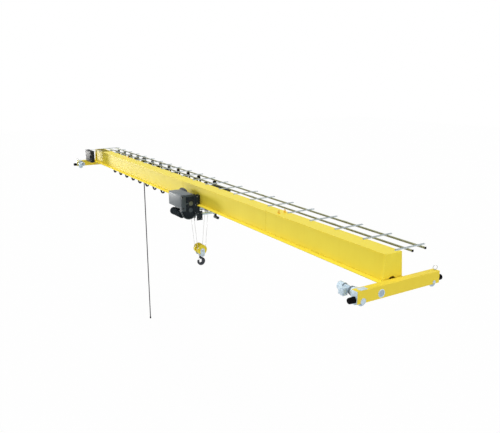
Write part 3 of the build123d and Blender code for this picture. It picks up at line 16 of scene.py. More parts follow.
import bmesh
import bpy
from mathutils import Matrix, Vector
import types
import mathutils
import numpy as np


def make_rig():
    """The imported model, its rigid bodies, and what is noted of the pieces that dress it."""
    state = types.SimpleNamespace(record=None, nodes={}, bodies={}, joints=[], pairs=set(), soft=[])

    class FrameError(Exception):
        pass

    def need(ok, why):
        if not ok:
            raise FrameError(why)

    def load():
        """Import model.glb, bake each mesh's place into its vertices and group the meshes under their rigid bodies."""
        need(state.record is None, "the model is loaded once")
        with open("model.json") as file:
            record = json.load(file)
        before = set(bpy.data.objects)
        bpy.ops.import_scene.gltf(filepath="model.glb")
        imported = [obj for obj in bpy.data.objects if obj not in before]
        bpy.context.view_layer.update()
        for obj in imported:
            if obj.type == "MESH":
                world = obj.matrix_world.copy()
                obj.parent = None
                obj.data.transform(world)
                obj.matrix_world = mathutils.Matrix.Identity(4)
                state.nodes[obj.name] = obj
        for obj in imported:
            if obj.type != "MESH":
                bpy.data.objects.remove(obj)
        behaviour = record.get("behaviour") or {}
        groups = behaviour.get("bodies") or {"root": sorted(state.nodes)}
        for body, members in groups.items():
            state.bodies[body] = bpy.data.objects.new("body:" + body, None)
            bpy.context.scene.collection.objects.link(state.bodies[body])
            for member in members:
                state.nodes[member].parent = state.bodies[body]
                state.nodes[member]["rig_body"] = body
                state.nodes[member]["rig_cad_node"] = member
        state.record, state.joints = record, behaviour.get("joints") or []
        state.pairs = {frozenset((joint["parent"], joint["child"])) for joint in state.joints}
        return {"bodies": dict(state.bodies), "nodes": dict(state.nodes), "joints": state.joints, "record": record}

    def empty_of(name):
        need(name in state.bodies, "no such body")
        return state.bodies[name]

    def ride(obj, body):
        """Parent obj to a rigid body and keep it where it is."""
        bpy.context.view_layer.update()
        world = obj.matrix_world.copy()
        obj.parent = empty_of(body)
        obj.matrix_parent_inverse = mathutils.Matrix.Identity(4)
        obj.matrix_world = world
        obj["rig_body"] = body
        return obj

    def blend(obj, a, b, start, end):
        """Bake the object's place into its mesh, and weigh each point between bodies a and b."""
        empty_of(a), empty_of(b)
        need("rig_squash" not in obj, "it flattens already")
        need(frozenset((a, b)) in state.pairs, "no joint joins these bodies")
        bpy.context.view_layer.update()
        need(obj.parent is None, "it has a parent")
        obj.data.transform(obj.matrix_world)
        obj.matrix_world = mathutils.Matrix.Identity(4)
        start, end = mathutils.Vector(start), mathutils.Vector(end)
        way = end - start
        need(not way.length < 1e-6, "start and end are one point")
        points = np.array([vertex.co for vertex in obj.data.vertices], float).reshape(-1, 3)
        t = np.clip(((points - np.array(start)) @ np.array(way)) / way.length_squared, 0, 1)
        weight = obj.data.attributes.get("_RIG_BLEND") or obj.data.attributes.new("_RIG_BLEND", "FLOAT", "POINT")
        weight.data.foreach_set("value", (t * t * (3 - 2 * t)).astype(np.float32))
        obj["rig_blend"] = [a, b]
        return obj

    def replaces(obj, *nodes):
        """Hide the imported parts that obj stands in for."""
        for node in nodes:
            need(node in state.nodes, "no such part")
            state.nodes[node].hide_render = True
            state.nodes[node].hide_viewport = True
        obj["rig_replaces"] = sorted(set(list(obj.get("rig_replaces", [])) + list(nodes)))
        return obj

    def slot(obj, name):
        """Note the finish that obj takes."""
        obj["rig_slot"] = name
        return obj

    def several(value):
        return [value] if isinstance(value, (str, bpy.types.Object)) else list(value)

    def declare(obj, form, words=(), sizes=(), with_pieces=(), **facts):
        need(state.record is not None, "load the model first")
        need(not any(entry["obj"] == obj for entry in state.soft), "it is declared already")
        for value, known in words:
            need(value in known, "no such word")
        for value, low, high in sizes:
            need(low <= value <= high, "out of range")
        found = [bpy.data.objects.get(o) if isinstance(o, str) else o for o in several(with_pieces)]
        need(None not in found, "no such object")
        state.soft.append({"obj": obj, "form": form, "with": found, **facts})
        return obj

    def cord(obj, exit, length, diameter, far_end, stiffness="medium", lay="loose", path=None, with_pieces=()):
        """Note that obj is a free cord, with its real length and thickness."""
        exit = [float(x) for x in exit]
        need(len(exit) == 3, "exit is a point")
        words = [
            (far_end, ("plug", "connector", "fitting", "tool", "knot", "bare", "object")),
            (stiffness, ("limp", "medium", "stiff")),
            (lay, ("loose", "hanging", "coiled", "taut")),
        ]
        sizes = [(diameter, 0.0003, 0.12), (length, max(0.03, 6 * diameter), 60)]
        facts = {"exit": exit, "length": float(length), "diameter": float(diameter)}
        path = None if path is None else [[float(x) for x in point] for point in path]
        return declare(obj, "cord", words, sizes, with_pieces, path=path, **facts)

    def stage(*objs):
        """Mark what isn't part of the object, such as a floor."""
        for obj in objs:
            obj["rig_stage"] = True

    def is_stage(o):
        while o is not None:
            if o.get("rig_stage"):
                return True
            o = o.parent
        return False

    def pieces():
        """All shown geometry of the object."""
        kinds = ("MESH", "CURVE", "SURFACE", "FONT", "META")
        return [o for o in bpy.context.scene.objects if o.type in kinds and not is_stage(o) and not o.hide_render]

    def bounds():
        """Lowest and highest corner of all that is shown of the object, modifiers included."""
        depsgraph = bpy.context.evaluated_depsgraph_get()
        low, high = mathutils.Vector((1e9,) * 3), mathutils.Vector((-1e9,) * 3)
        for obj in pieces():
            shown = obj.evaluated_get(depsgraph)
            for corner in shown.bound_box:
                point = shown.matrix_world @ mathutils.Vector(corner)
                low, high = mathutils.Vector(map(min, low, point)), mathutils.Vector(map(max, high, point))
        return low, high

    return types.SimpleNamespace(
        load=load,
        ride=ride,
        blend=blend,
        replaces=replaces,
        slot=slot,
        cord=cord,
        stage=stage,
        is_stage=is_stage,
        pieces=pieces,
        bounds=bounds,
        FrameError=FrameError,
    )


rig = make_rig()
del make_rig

LOG = logging.getLogger("bridge_crane")
X = Vector((1.0, 0.0, 0.0))
Y = Vector((0.0, 1.0, 0.0))
Z = Vector((0.0, 0.0, 1.0))
NEAR_AND_FAR = (1.0, -1.0)
FRONT_AND_BACK = (-1.0, 1.0)
Point = tuple[float, float, float]
Pair = tuple[float, float]
Rgb = tuple[int, int, int]
WHITE = (1.0, 1.0, 1.0, 1.0)
DUST_COLOUR: Rgb = (198, 190, 168)
RUB_COLOUR: Rgb = (120, 118, 114)
RUB_SCALE = 40.0
RUN_SHARE = 0.7
MATT_GAIN = 0.3
BUMP_DEPTH = 0.002
MERGE_GAP = 1e-6
FLAT_GAP = 1e-5
SHARP_ANGLE = math.radians(32)


def linear(colour: Rgb) -> tuple[float, float, float, float]:
    """Turn a screen colour of 0 to 255 into the linear colour that shaders take, with full alpha."""
    shares = [part / 255 for part in colour]
    return tuple(s / 12.92 if s < 0.04045 else ((s + 0.055) / 1.055) ** 2.4 for s in shares) + (1.0,)


# Shading


class Tree:
    """A node tree with short calls for adding and linking nodes."""

    def __init__(self, tree: bpy.types.NodeTree) -> None:
        """Keep the tree that the calls work on."""
        self.tree = tree

    def add(self, kind: str, inputs: dict | None = None, **settings: object) -> bpy.types.Node:
        """Add a node.

        Args:
            kind: The node's type name without its ShaderNode start.
            inputs: A value or a socket to link for each named or numbered input.
            **settings: Properties set on the node itself.

        Returns:
            The new node.
        """
        node = self.tree.nodes.new("ShaderNode" + kind)
        for name, value in settings.items():
            setattr(node, name, value)
        for key, value in (inputs or {}).items():
            if isinstance(value, bpy.types.NodeSocket):
                self.tree.links.new(value, node.inputs[key])
            else:
                node.inputs[key].default_value = value
        return node

    def link(self, source: bpy.types.NodeSocket, target: bpy.types.NodeSocket) -> None:
        """Link one socket to another."""
        self.tree.links.new(source, target)

    def blend(self, share: object, first: object, second: object) -> bpy.types.NodeSocket:
        """Return the mix of two colours, where share is how much of the second one shows."""
        return self.add("Mix", {0: share, 6: first, 7: second}, data_type="RGBA").outputs[2]

    def sums(self, operation: str, first: object, second: object) -> bpy.types.NodeSocket:
        """Return the result of one calculation on two numbers or sockets."""
        return self.add("Math", {0: first, 1: second}, operation=operation).outputs[0]

    def ramp(self, value: bpy.types.NodeSocket, low: float, high: float) -> bpy.types.NodeSocket:
        """Return the value stretched so that low gives zero and high gives one."""
        return self.add("MapRange", {0: value, 1: low, 2: high}, clamp=True).outputs[0]

    def noise(self, place: bpy.types.NodeSocket, scale: object, detail: float = 2.0) -> bpy.types.NodeSocket:
        """Return cloudy noise of a scale, which may be a number or a socket."""
        return self.add("TexNoise", {"Vector": place, "Scale": scale, "Detail": detail}).outputs[0]


class GroupPlan:
    """A shader group under construction, with its named inputs and outputs."""

    def __init__(self, name: str, inputs: dict[str, str], outputs: dict[str, str]) -> None:
        """Make the group and its sockets.

        Args:
            name: The group's name.
            inputs: Socket kind for each input name.
            outputs: Socket kind for each output name.
        """
        self.group = bpy.data.node_groups.new(name, "ShaderNodeTree")
        for names, side in ((inputs, "INPUT"), (outputs, "OUTPUT")):
            for socket, kind in names.items():
                self.group.interface.new_socket(name=socket, in_out=side, socket_type="NodeSocket" + kind)
        self.tree = Tree(self.group)
        self.source = self.group.nodes.new("NodeGroupInput")
        self.target = self.group.nodes.new("NodeGroupOutput")

    def given(self, name: str) -> bpy.types.NodeSocket:
        """Return the socket that carries a named input."""
        return self.source.outputs[name]

    def give(self, name: str, value: bpy.types.NodeSocket) -> None:
        """Send a value to a named output."""
        self.tree.link(value, self.target.inputs[name])


class Effects:
    """The shader groups that several finishes share."""

    def __init__(self) -> None:
        """Build every group once."""
        self.coat = self._coat()
        self.scuffs = self._scuffs()
        self.casting = self._casting()
        self.drawn = self._drawn()
        self.spangle = self._spangle()
        self.bloom = self._bloom()

    def _coat(self) -> bpy.types.NodeTree:
        """Return sprayed paint: mottled tone, runs down upright faces, dust on top faces and a fine peel.

        Returns:
            The shader group.
        """
        plan = GroupPlan(
            "sprayed_coat",
            {"Position": "Vector", "Coat": "Color", "Shade": "Color", "Dust": "Color", "Scale": "Float",
             "Mottle": "Float", "Runs": "Float", "Dusting": "Float"},
            {"Color": "Color", "Matt": "Float", "Height": "Float"},
        )
        tree, place, shade = plan.tree, plan.given("Position"), plan.given("Shade")
        cloud = tree.ramp(tree.noise(place, plan.given("Scale"), 4.0), 0.35, 0.7)
        colour = tree.blend(tree.sums("MULTIPLY", cloud, plan.given("Mottle")), plan.given("Coat"), shade)
        tall = tree.add("Mapping", {"Vector": place, "Scale": (9.0, 9.0, 0.5)}).outputs[0]
        run = tree.ramp(tree.noise(tall, 2.0, 3.0), 0.5, 0.75)
        run_share = tree.sums("MULTIPLY", run, plan.given("Runs"))
        colour = tree.blend(run_share, colour, shade)
        normal = tree.add("SeparateXYZ", {0: tree.add("NewGeometry").outputs["Normal"]})
        drift = tree.ramp(tree.noise(place, 3.0, 5.0), 0.4, 0.7)
        top = tree.sums("MULTIPLY", tree.ramp(normal.outputs[2], 0.6, 1.0), drift)
        dust = tree.sums("MULTIPLY", top, plan.given("Dusting"))
        plan.give("Color", tree.blend(dust, colour, plan.given("Dust")))
        plan.give("Matt", tree.sums("ADD", dust, run_share))
        peel, wide = tree.noise(place, 260.0, 1.0), tree.noise(place, 5.0, 1.0)
        plan.give("Height", tree.sums("ADD", peel, tree.sums("MULTIPLY", wide, 4.0)))
        return plan.group

    def _scuffs(self) -> bpy.types.NodeTree:
        """Return small bright rubs and chips as a mask.

        Returns:
            The shader group.
        """
        given = {"Position": "Vector", "Scale": "Float", "Amount": "Float"}
        plan = GroupPlan("scuff_marks", given, {"Mask": "Float"})
        tree, place = plan.tree, plan.given("Position")
        fine = tree.ramp(tree.noise(place, plan.given("Scale"), 8.0), 0.62, 0.7)
        broad = tree.ramp(tree.noise(place, 4.0), 0.45, 0.65)
        mask = tree.sums("MULTIPLY", fine, broad)
        plan.give("Mask", tree.sums("MULTIPLY", mask, plan.given("Amount")))
        return plan.group

    def _casting(self) -> bpy.types.NodeTree:
        """Return the pebbled skin of cast metal.

        Returns:
            The shader group.
        """
        plan = GroupPlan(
            "casting_skin", {"Position": "Vector", "Base": "Color", "Deep": "Color", "Scale": "Float"},
            {"Color": "Color", "Height": "Float"},
        )
        tree, place = plan.tree, plan.given("Position")
        cells = tree.add("TexVoronoi", {"Vector": place, "Scale": plan.given("Scale")})
        cloud = tree.noise(place, 18.0, 6.0)
        plan.give("Color", tree.blend(tree.ramp(cloud, 0.3, 0.7), plan.given("Base"), plan.given("Deep")))
        plan.give("Height", tree.sums("ADD", cells.outputs[0], cloud))
        return plan.group

    def _drawn(self) -> bpy.types.NodeTree:
        """Return the long fine lines of drawn, turned or brushed steel.

        Returns:
            The shader group.
        """
        plan = GroupPlan(
            "drawn_lines", {"Position": "Vector", "Stretch": "Vector", "Bright": "Color", "Dull": "Color"},
            {"Color": "Color", "Height": "Float"},
        )
        tree, place = plan.tree, plan.given("Position")
        along = tree.add("VectorMath", {0: place, 1: plan.given("Stretch")}, operation="MULTIPLY")
        lines = tree.noise(along.outputs[0], 60.0, 4.0)
        smear = tree.ramp(tree.noise(place, 7.0, 4.0), 0.2, 0.8)
        share = tree.sums("MULTIPLY", tree.ramp(lines, 0.3, 0.7), smear)
        plan.give("Color", tree.blend(share, plan.given("Bright"), plan.given("Dull")))
        plan.give("Height", lines)
        return plan.group

    def _spangle(self) -> bpy.types.NodeTree:
        """Return the crystal patches of hot zinc.

        Returns:
            The shader group.
        """
        plan = GroupPlan(
            "zinc_spangle", {"Position": "Vector", "Bright": "Color", "Dull": "Color", "Scale": "Float"},
            {"Color": "Color", "Matt": "Float"},
        )
        tree, place = plan.tree, plan.given("Position")
        cells = tree.add("TexVoronoi", {"Vector": place, "Scale": plan.given("Scale")})
        patch = tree.add("SeparateColor", {0: cells.outputs["Color"]})
        plan.give("Color", tree.blend(patch.outputs[0], plan.given("Bright"), plan.given("Dull")))
        plan.give("Matt", tree.ramp(patch.outputs[1], -1.0, 2.6))
        return plan.group

    def _bloom(self) -> bpy.types.NodeTree:
        """Return moulded rubber or plastic with a grey bloom and a fine grain.

        Returns:
            The shader group.
        """
        plan = GroupPlan(
            "moulded_bloom", {"Position": "Vector", "Base": "Color", "Bloom": "Color", "Grain": "Float"},
            {"Color": "Color", "Height": "Float"},
        )
        tree, place = plan.tree, plan.given("Position")
        cloud = tree.ramp(tree.noise(place, 11.0, 5.0), 0.45, 0.8)
        plan.give("Color", tree.blend(cloud, plan.given("Base"), plan.given("Bloom")))
        plan.give("Height", tree.noise(place, plan.given("Grain"), 2.0))
        return plan.group


class Surface(Enum):
    """The kinds of surface that a finish can have."""

    COAT = "sprayed paint"
    CASTING = "cast metal"
    DRAWN = "drawn or turned steel"
    ZINC = "hot zinc"
    MOULDED = "rubber or plastic"


@dataclass(frozen=True)
class Finish:
    """One finish of the crane: its surface kind, colours and sizes."""

    name: str
    slot: str
    surface: Surface
    colour: Rgb
    shade: Rgb
    roughness: float
    metallic: float = 0.0
    coat: float = 0.0
    specular: float = 0.5
    mottle: float = 0.25
    dusting: float = 0.2
    scale: float = 1.6
    scuffs: float = 0.0
    bump: float = 0.05
    stretch: Point = (0.05, 1.0, 1.0)

    def make(self, effects: Effects) -> bpy.types.Material:
        """Build the material.

        Args:
            effects: The shared shader groups.

        Returns:
            The finished material.
        """
        material = bpy.data.materials.new(self.name)
        material.use_nodes = True
        tree = Tree(material.node_tree)
        shader = material.node_tree.nodes["Principled BSDF"]
        shader.inputs["Metallic"].default_value = self.metallic
        shader.inputs["Coat Weight"].default_value = self.coat
        shader.inputs["Specular IOR Level"].default_value = self.specular
        shader.inputs["Roughness"].default_value = self.roughness
        place = tree.add("TexCoord").outputs["Object"]
        layer = self._layer(tree, effects, place)
        colour, height, matt = (layer.outputs.get(name) for name in ("Color", "Height", "Matt"))
        if self.scuffs:
            given = {"Position": place, "Scale": RUB_SCALE, "Amount": self.scuffs}
            rub = tree.add("Group", given, node_tree=effects.scuffs)
            colour = tree.blend(rub.outputs["Mask"], colour, linear(RUB_COLOUR))
        tree.link(colour, shader.inputs["Base Color"])
        if matt is not None:
            more = tree.sums("MULTIPLY", matt, MATT_GAIN)
            tree.link(tree.sums("ADD", more, self.roughness), shader.inputs["Roughness"])
        if height is not None:
            bump = tree.add("Bump", {"Strength": self.bump, "Distance": BUMP_DEPTH, "Height": height})
            tree.link(bump.outputs[0], shader.inputs["Normal"])
        return material

    def _layer(self, tree: Tree, effects: Effects, place: bpy.types.NodeSocket) -> bpy.types.Node:
        """Place the shader group of this kind of surface.

        Args:
            tree: The material's tree.
            effects: The shared shader groups.
            place: The socket with the piece's own coordinates.

        Returns:
            The group's node.
        """
        colour, shade = linear(self.colour), linear(self.shade)
        group, given = {
            Surface.COAT: (effects.coat, {
                "Coat": colour, "Shade": shade, "Dust": linear(DUST_COLOUR), "Scale": self.scale,
                "Mottle": self.mottle, "Runs": self.mottle * RUN_SHARE, "Dusting": self.dusting,
            }),
            Surface.CASTING: (effects.casting, {"Base": colour, "Deep": shade, "Scale": self.scale}),
            Surface.DRAWN: (effects.drawn, {"Stretch": self.stretch, "Bright": colour, "Dull": shade}),
            Surface.ZINC: (effects.spangle, {"Bright": colour, "Dull": shade, "Scale": self.scale}),
            Surface.MOULDED: (effects.bloom, {"Base": colour, "Bloom": shade, "Grain": self.scale}),
        }[self.surface]
        return tree.add("Group", {"Position": place, **given}, node_tree=group)


GIRDER_YELLOW = Finish(
    "girder_yellow", "girder_paint", Surface.COAT, (247, 228, 78), (236, 211, 60), 0.42,
    specular=0.08, dusting=0.03, mottle=0.2,
)
CARRIAGE_YELLOW = Finish(
    "carriage_yellow", "carriage_paint", Surface.COAT, (246, 222, 74), (234, 205, 56), 0.44,
    specular=0.1, dusting=0.03, mottle=0.2,
)
WELD_YELLOW = Finish(
    "weld_yellow", "girder_paint", Surface.COAT, (236, 210, 54), (216, 184, 40), 0.6,
    specular=0.06, dusting=0.03, scale=30.0, bump=0.1,
)
LUG_ORANGE = Finish(
    "lug_orange", "lug_paint", Surface.COAT, (238, 190, 46), (222, 166, 38), 0.4,
    specular=0.2, dusting=0.03,
)
ARM_GREY = Finish(
    "arm_grey", "arm_paint", Surface.COAT, (204, 214, 220), (188, 200, 208), 0.42,
    specular=0.3, dusting=0.05,
)
PALE_BLUE = Finish(
    "drive_pale_blue", "drive_paint", Surface.COAT, (206, 226, 240), (184, 206, 224), 0.35,
    coat=0.2, dusting=0.05, mottle=0.2, scale=4.0,
)
PORT_BLUE = Finish(
    "port_blue", "drive_paint", Surface.COAT, (172, 190, 204), (150, 170, 186), 0.4,
    scale=6.0,
)
CABINET_GREY = Finish(
    "cabinet_charcoal", "cabinet_paint", Surface.COAT, (34, 37, 40), (29, 32, 34), 0.55,
    specular=0.15, dusting=0.04, mottle=0.15, scale=5.0,
)
COVER_GREY = Finish(
    "cover_grey", "hoist_grey", Surface.COAT, (108, 115, 120), (99, 105, 110), 0.5,
    specular=0.2, dusting=0.04, mottle=0.12, scale=4.0, bump=0.12,
)
MOTOR_DARK = Finish(
    "motor_dark_paint", "hoist_dark", Surface.COAT, (34, 41, 46), (24, 30, 35), 0.8,
    specular=0.02, dusting=0.03, scale=7.0,
)
HOIST_DARK = Finish(
    "hoist_dark_paint", "hoist_dark", Surface.COAT, (30, 38, 44), (20, 27, 32), 0.55,
    specular=0.15, dusting=0.03, scale=7.0, scuffs=0.12,
)
# Lighter grey than the case on the near end's rim, rail and column: painted highlight where these edges catch the
# light.
RIB_GREY = Finish(
    "hoist_rib_painted_highlight", "hoist_dark", Surface.COAT, (58, 68, 74), (42, 52, 58), 0.45,
    specular=0.3, dusting=0.04, scale=7.0, scuffs=0.12,
)
BLOCK_YELLOW = Finish(
    "block_yellow", "block_paint", Surface.COAT, (242, 222, 58), (222, 196, 42), 0.38,
    specular=0.2, dusting=0.03, scale=6.0, scuffs=0.2,
)
RAIL_ZINC = Finish(
    "rail_zinc", "rail_zinc", Surface.ZINC, (168, 170, 140), (142, 146, 116), 0.45,
    metallic=0.3, specular=0.3, scale=90.0,
)
WHEEL_IRON = Finish(
    "wheel_iron", "wheel_iron", Surface.CASTING, (176, 178, 178), (140, 142, 142), 0.45,
    metallic=0.5, scale=300.0, bump=0.2,
)
PIN_STEEL = Finish(
    "pin_steel", "pin_steel", Surface.DRAWN, (186, 188, 190), (140, 142, 146), 0.32,
    metallic=0.9,
)
ROPE_STEEL = Finish(
    "rope_steel", "rope_steel", Surface.DRAWN, (222, 222, 220), (176, 176, 172), 0.4,
    metallic=0.5, stretch=(1.0, 1.0, 0.3),
)
BOLT_ZINC = Finish(
    "bolt_zinc", "pin_steel", Surface.ZINC, (196, 198, 196), (160, 162, 160), 0.35,
    metallic=0.8, scale=400.0,
)
HOOK_BLACK = Finish(
    "hook_forged", "hook_black", Surface.CASTING, (44, 48, 56), (30, 34, 40), 0.42,
    metallic=0.3, scale=220.0, bump=0.35, scuffs=0.3,
)
BLACK_PLASTIC = Finish(
    "black_plastic", "black_plastic", Surface.MOULDED, (10, 10, 12), (20, 20, 22), 0.7,
    specular=0.08, scale=500.0,
)
BUFFER_RUBBER = Finish(
    "buffer_rubber", "buffer_rubber", Surface.MOULDED, (8, 7, 11), (16, 15, 19), 0.8,
    specular=0.06, scale=300.0, bump=0.2,
)
CABLE_RUBBER = Finish(
    "cable_rubber", "cable_rubber", Surface.MOULDED, (7, 7, 9), (14, 14, 16), 0.8,
    specular=0.05, scale=700.0, bump=0.15,
)
PENDANT_RUBBER = Finish(
    "pendant_rubber", "pendant_rubber", Surface.MOULDED, (40, 36, 42), (54, 50, 56), 0.65,
    specular=0.2, scale=700.0,
)
SHADOW_GAP = Finish(
    "shadow_gap", "hoist_dark", Surface.MOULDED, (14, 15, 17), (22, 23, 25), 0.8,
    scale=200.0,
)
BOSS_OLIVE = Finish("boss_olive", "hoist_dark", Surface.COAT, (84, 90, 72), (68, 74, 60), 0.5, scale=12.0)
# Dark olive instead of girder yellow: painted shade over the far end of the girder's top.
PLATE_OLIVE = Finish(
    "plate_olive_painted_shade", "girder_paint", Surface.COAT, (146, 134, 52), (122, 110, 38), 0.5,
    specular=0.2, dusting=0.05, scale=6.0,
)
SHADED_YELLOW = Finish(
    "shaded_yellow", "girder_paint", Surface.COAT, (198, 164, 52), (170, 134, 36), 0.5,
    specular=0.1, scale=6.0,
)
TRAVEL_IRON = Finish(
    "travel_wheel_iron", "wheel_iron", Surface.CASTING, (196, 212, 226), (168, 186, 202), 0.4,
    metallic=0.2, scale=300.0, bump=0.2,
)

NODE_FINISHES: dict[Finish, tuple[str, ...]] = {
    GIRDER_YELLOW: ("girder_top_flange", "girder_bottom_flange", "girder_webs", "girder_end_plates"),
    LUG_ORANGE: ("lifting_lugs",),
    CARRIAGE_YELLOW: ("carriages",),
    PALE_BLUE: ("axle_caps", "travel_drives", "cross_tubes", "block_side_plates"),
    BUFFER_RUBBER: ("buffers",),
    ARM_GREY: ("bracket_arms",),
    RAIL_ZINC: ("cable_rails",),
    BLACK_PLASTIC: ("rail_end_caps", "cable_trolleys_inner", "cable_trolleys_outer", "pendant_connector"),
    CABLE_RUBBER: ("loop_cable_inner", "loop_cable_outer"),
    PENDANT_RUBBER: ("pendant_cable",),
    CABINET_GREY: ("control_cabinet",),
    HOIST_DARK: ("trolley_frame_front", "trolley_frame_back", "tow_arm", "trolley_drive", "hoist_frame"),
    MOTOR_DARK: ("hoist_motor",),
    COVER_GREY: ("hoist_cover",),
    TRAVEL_IRON: (
        "carriage_wheel_near_front", "carriage_wheel_near_back",
        "carriage_wheel_far_front", "carriage_wheel_far_back",
    ),
    WHEEL_IRON: (
        "trolley_wheel_front_near", "trolley_wheel_front_far",
        "trolley_wheel_back_near", "trolley_wheel_back_far",
        "rope_drum", "block_sheaves", "equalizer_sheave",
    ),
    ROPE_STEEL: ("rope_falls_front", "rope_falls_back"),
    BLOCK_YELLOW: ("block_guards",),
    PIN_STEEL: ("block_crosshead", "hook_latch"),
    HOOK_BLACK: ("hook",),
}


# Shapes


def stand(at: Sequence[float], along: Vector = Z) -> Matrix:
    """Return the matrix that puts a shape's foot at a point and its Z along a direction."""
    return Matrix.Translation(at) @ along.to_track_quat("Z", "Y").to_matrix().to_4x4()


class Shape:
    """A bmesh that grows by simple solids and ends as one piece."""

    def __init__(self) -> None:
        """Start empty."""
        self.bm = bmesh.new()

    def _join(self, part: bmesh.types.BMesh, matrix: Matrix) -> Shape:
        """Move a separate bmesh to its place and add it.

        Args:
            part: The bmesh, which is freed.
            matrix: Its place.

        Returns:
            This shape.
        """
        bmesh.ops.transform(part, matrix=matrix, verts=part.verts)
        form = bpy.data.meshes.new("form")
        part.to_mesh(form)
        part.free()
        self.bm.from_mesh(form)
        bpy.data.meshes.remove(form)
        return self

    def rod(
        self, at: Sequence[float], along: Vector, radius: float, length: float,
        sides: int = 24, end: float | None = None, edge: float = 0.0,
    ) -> Shape:
        """Add a round bar.

        Args:
            at: Centre of its first end.
            along: Its direction.
            radius: Radius at the first end.
            length: Its length.
            sides: Number of sides.
            end: Radius at the far end, where it differs.
            edge: Width of the rounded far edge.

        Returns:
            This shape.
        """
        tip = radius if end is None else end
        matrix = stand(at, along) @ Matrix.Translation((0.0, 0.0, length / 2))
        made = bmesh.ops.create_cone(
            self.bm, cap_ends=True, cap_tris=False, segments=sides,
            radius1=radius, radius2=tip, depth=length, matrix=matrix,
        )
        if edge:
            far = Vector(at) + along * length
            rim = {
                item for vert in made["verts"] for item in vert.link_edges
                if all(abs((corner.co - far).dot(along)) < FLAT_GAP for corner in item.verts)
            }
            self._soften(list(rim), edge)
        return self

    def _soften(self, edges: list[bmesh.types.BMEdge], width: float) -> None:
        """Round a set of edges.

        Args:
            edges: The edges.
            width: Width of the rounding.
        """
        bmesh.ops.bevel(
            self.bm, geom=edges, offset=width, offset_type="OFFSET", segments=2,
            profile=0.5, affect="EDGES", material=-1, clamp_overlap=True,
        )

    def block(self, start: Sequence[float], stop: Sequence[float], edge: float = 0.0) -> Shape:
        """Add a box.

        Args:
            start: One corner.
            stop: The opposite corner.
            edge: Width of its rounded edges.

        Returns:
            This shape.
        """
        size = [abs(b - a) for a, b in zip(start, stop)]
        middle = [(a + b) / 2 for a, b in zip(start, stop)]
        matrix = Matrix.Translation(middle) @ Matrix.Diagonal((*size, 1.0))
        made = bmesh.ops.create_cube(self.bm, size=1.0, matrix=matrix)
        if edge:
            self._soften(list({item for vert in made["verts"] for item in vert.link_edges}), edge)
        return self

    def lathe(
        self, profile: Sequence[Pair], at: Sequence[float], along: Vector,
        sides: int = 32, closed: bool = False,
    ) -> Shape:
        """Spin a profile of radius and height pairs round a line.

        Args:
            profile: Radius and height of each point.
            at: Foot of the line.
            along: Direction of the line.
            sides: Number of steps in the turn.
            closed: Whether the profile runs back to its first point.

        Returns:
            This shape.
        """
        points = [*profile, profile[0]] if closed else profile
        part = bmesh.new()
        verts = [part.verts.new((radius, 0.0, height)) for radius, height in points]
        edges = [part.edges.new(pair) for pair in zip(verts, verts[1:])]
        bmesh.ops.spin(
            part, geom=verts + edges, cent=(0.0, 0.0, 0.0), axis=Z, dvec=(0.0, 0.0, 0.0),
            angle=math.tau, steps=sides, use_merge=True, use_duplicate=False,
        )
        bmesh.ops.remove_doubles(part, verts=part.verts, dist=MERGE_GAP)
        return self._join(part, stand(at, along))

    def band(
        self, at: Sequence[float], along: Vector, radius: float, width: float, rise: float, sides: int,
    ) -> Shape:
        """Add a thin flat ring on a surface.

        Args:
            at: Its centre on the surface.
            along: Direction away from the surface.
            radius: Its inner radius.
            width: Its width.
            rise: Its thickness.
            sides: Number of sides.

        Returns:
            This shape.
        """
        outer = radius + width
        profile = [(radius, 0.0), (radius, rise), (outer, rise), (outer, 0.0)]
        return self.lathe(profile, at, along, sides=sides, closed=True)

    def _wire(
        self, place: Matrix, radius: float, thickness: float, sides: int,
        turn: float, steps: int, rise: float = 0.0, closed: bool = False,
    ) -> Shape:
        """Sweep a round section about Z.

        Args:
            place: Where the swept wire goes.
            radius: Radius of the sweep.
            thickness: Radius of the wire.
            sides: Sides of the wire.
            turn: How far round it goes.
            steps: Steps in the whole turn.
            rise: Rise in one step.
            closed: Whether its ends meet.

        Returns:
            This shape.
        """
        section = Matrix.Translation((radius, 0.0, 0.0)) @ Matrix.Rotation(math.pi / 2, 4, "X")
        part = bmesh.new()
        bmesh.ops.create_circle(
            part, cap_ends=not closed, segments=sides, radius=thickness, matrix=section
        )
        bmesh.ops.spin(
            part, geom=[*part.verts, *part.edges, *part.faces], cent=(0.0, 0.0, 0.0), axis=Z,
            dvec=(0.0, 0.0, rise), angle=turn, steps=steps, use_merge=closed, use_duplicate=False,
        )
        return self._join(part, place)

    def ring(
        self, at: Sequence[float], along: Vector, radius: float, thickness: float, turn: float = math.tau,
    ) -> Shape:
        """Add a round wire bent to a ring or a part of one.

        Args:
            at: Centre of the ring.
            along: Its axis.
            radius: Radius of the wire's centre line.
            thickness: Radius of the wire.
            turn: How far round it goes.

        Returns:
            This shape.
        """
        steps = max(8, round(36 * turn / math.tau))
        full = turn > math.tau - MERGE_GAP
        return self._wire(stand(at, along), radius, thickness, 8, turn, steps, closed=full)

    def coil(
        self, at: Sequence[float], along: Vector, radius: float, thickness: float,
        pitch: float, turns: float, sides: int = 6, steps: int = 12,
    ) -> Shape:
        """Add a helix of round wire.

        Args:
            at: Foot of its axis.
            along: Direction of its axis.
            radius: Radius of the helix.
            thickness: Radius of the wire.
            pitch: Rise in one turn.
            turns: Number of turns.
            sides: Sides of the wire.
            steps: Steps in one turn.

        Returns:
            This shape.
        """
        total = max(2, round(turns * steps))
        rise = pitch * turns / total
        return self._wire(stand(at, along), radius, thickness, sides, math.tau * turns, total, rise)

    def prism(self, corners: Sequence[Point], depth: Vector) -> Shape:
        """Push a flat outline through a depth.

        Args:
            corners: The outline's points.
            depth: How far and which way it is pushed.

        Returns:
            This shape.
        """
        face = self.bm.faces.new([self.bm.verts.new(corner) for corner in corners])
        pushed = bmesh.ops.extrude_face_region(self.bm, geom=[face])
        verts = [item for item in pushed["geom"] if isinstance(item, bmesh.types.BMVert)]
        bmesh.ops.translate(self.bm, verts=verts, vec=depth)
        return self

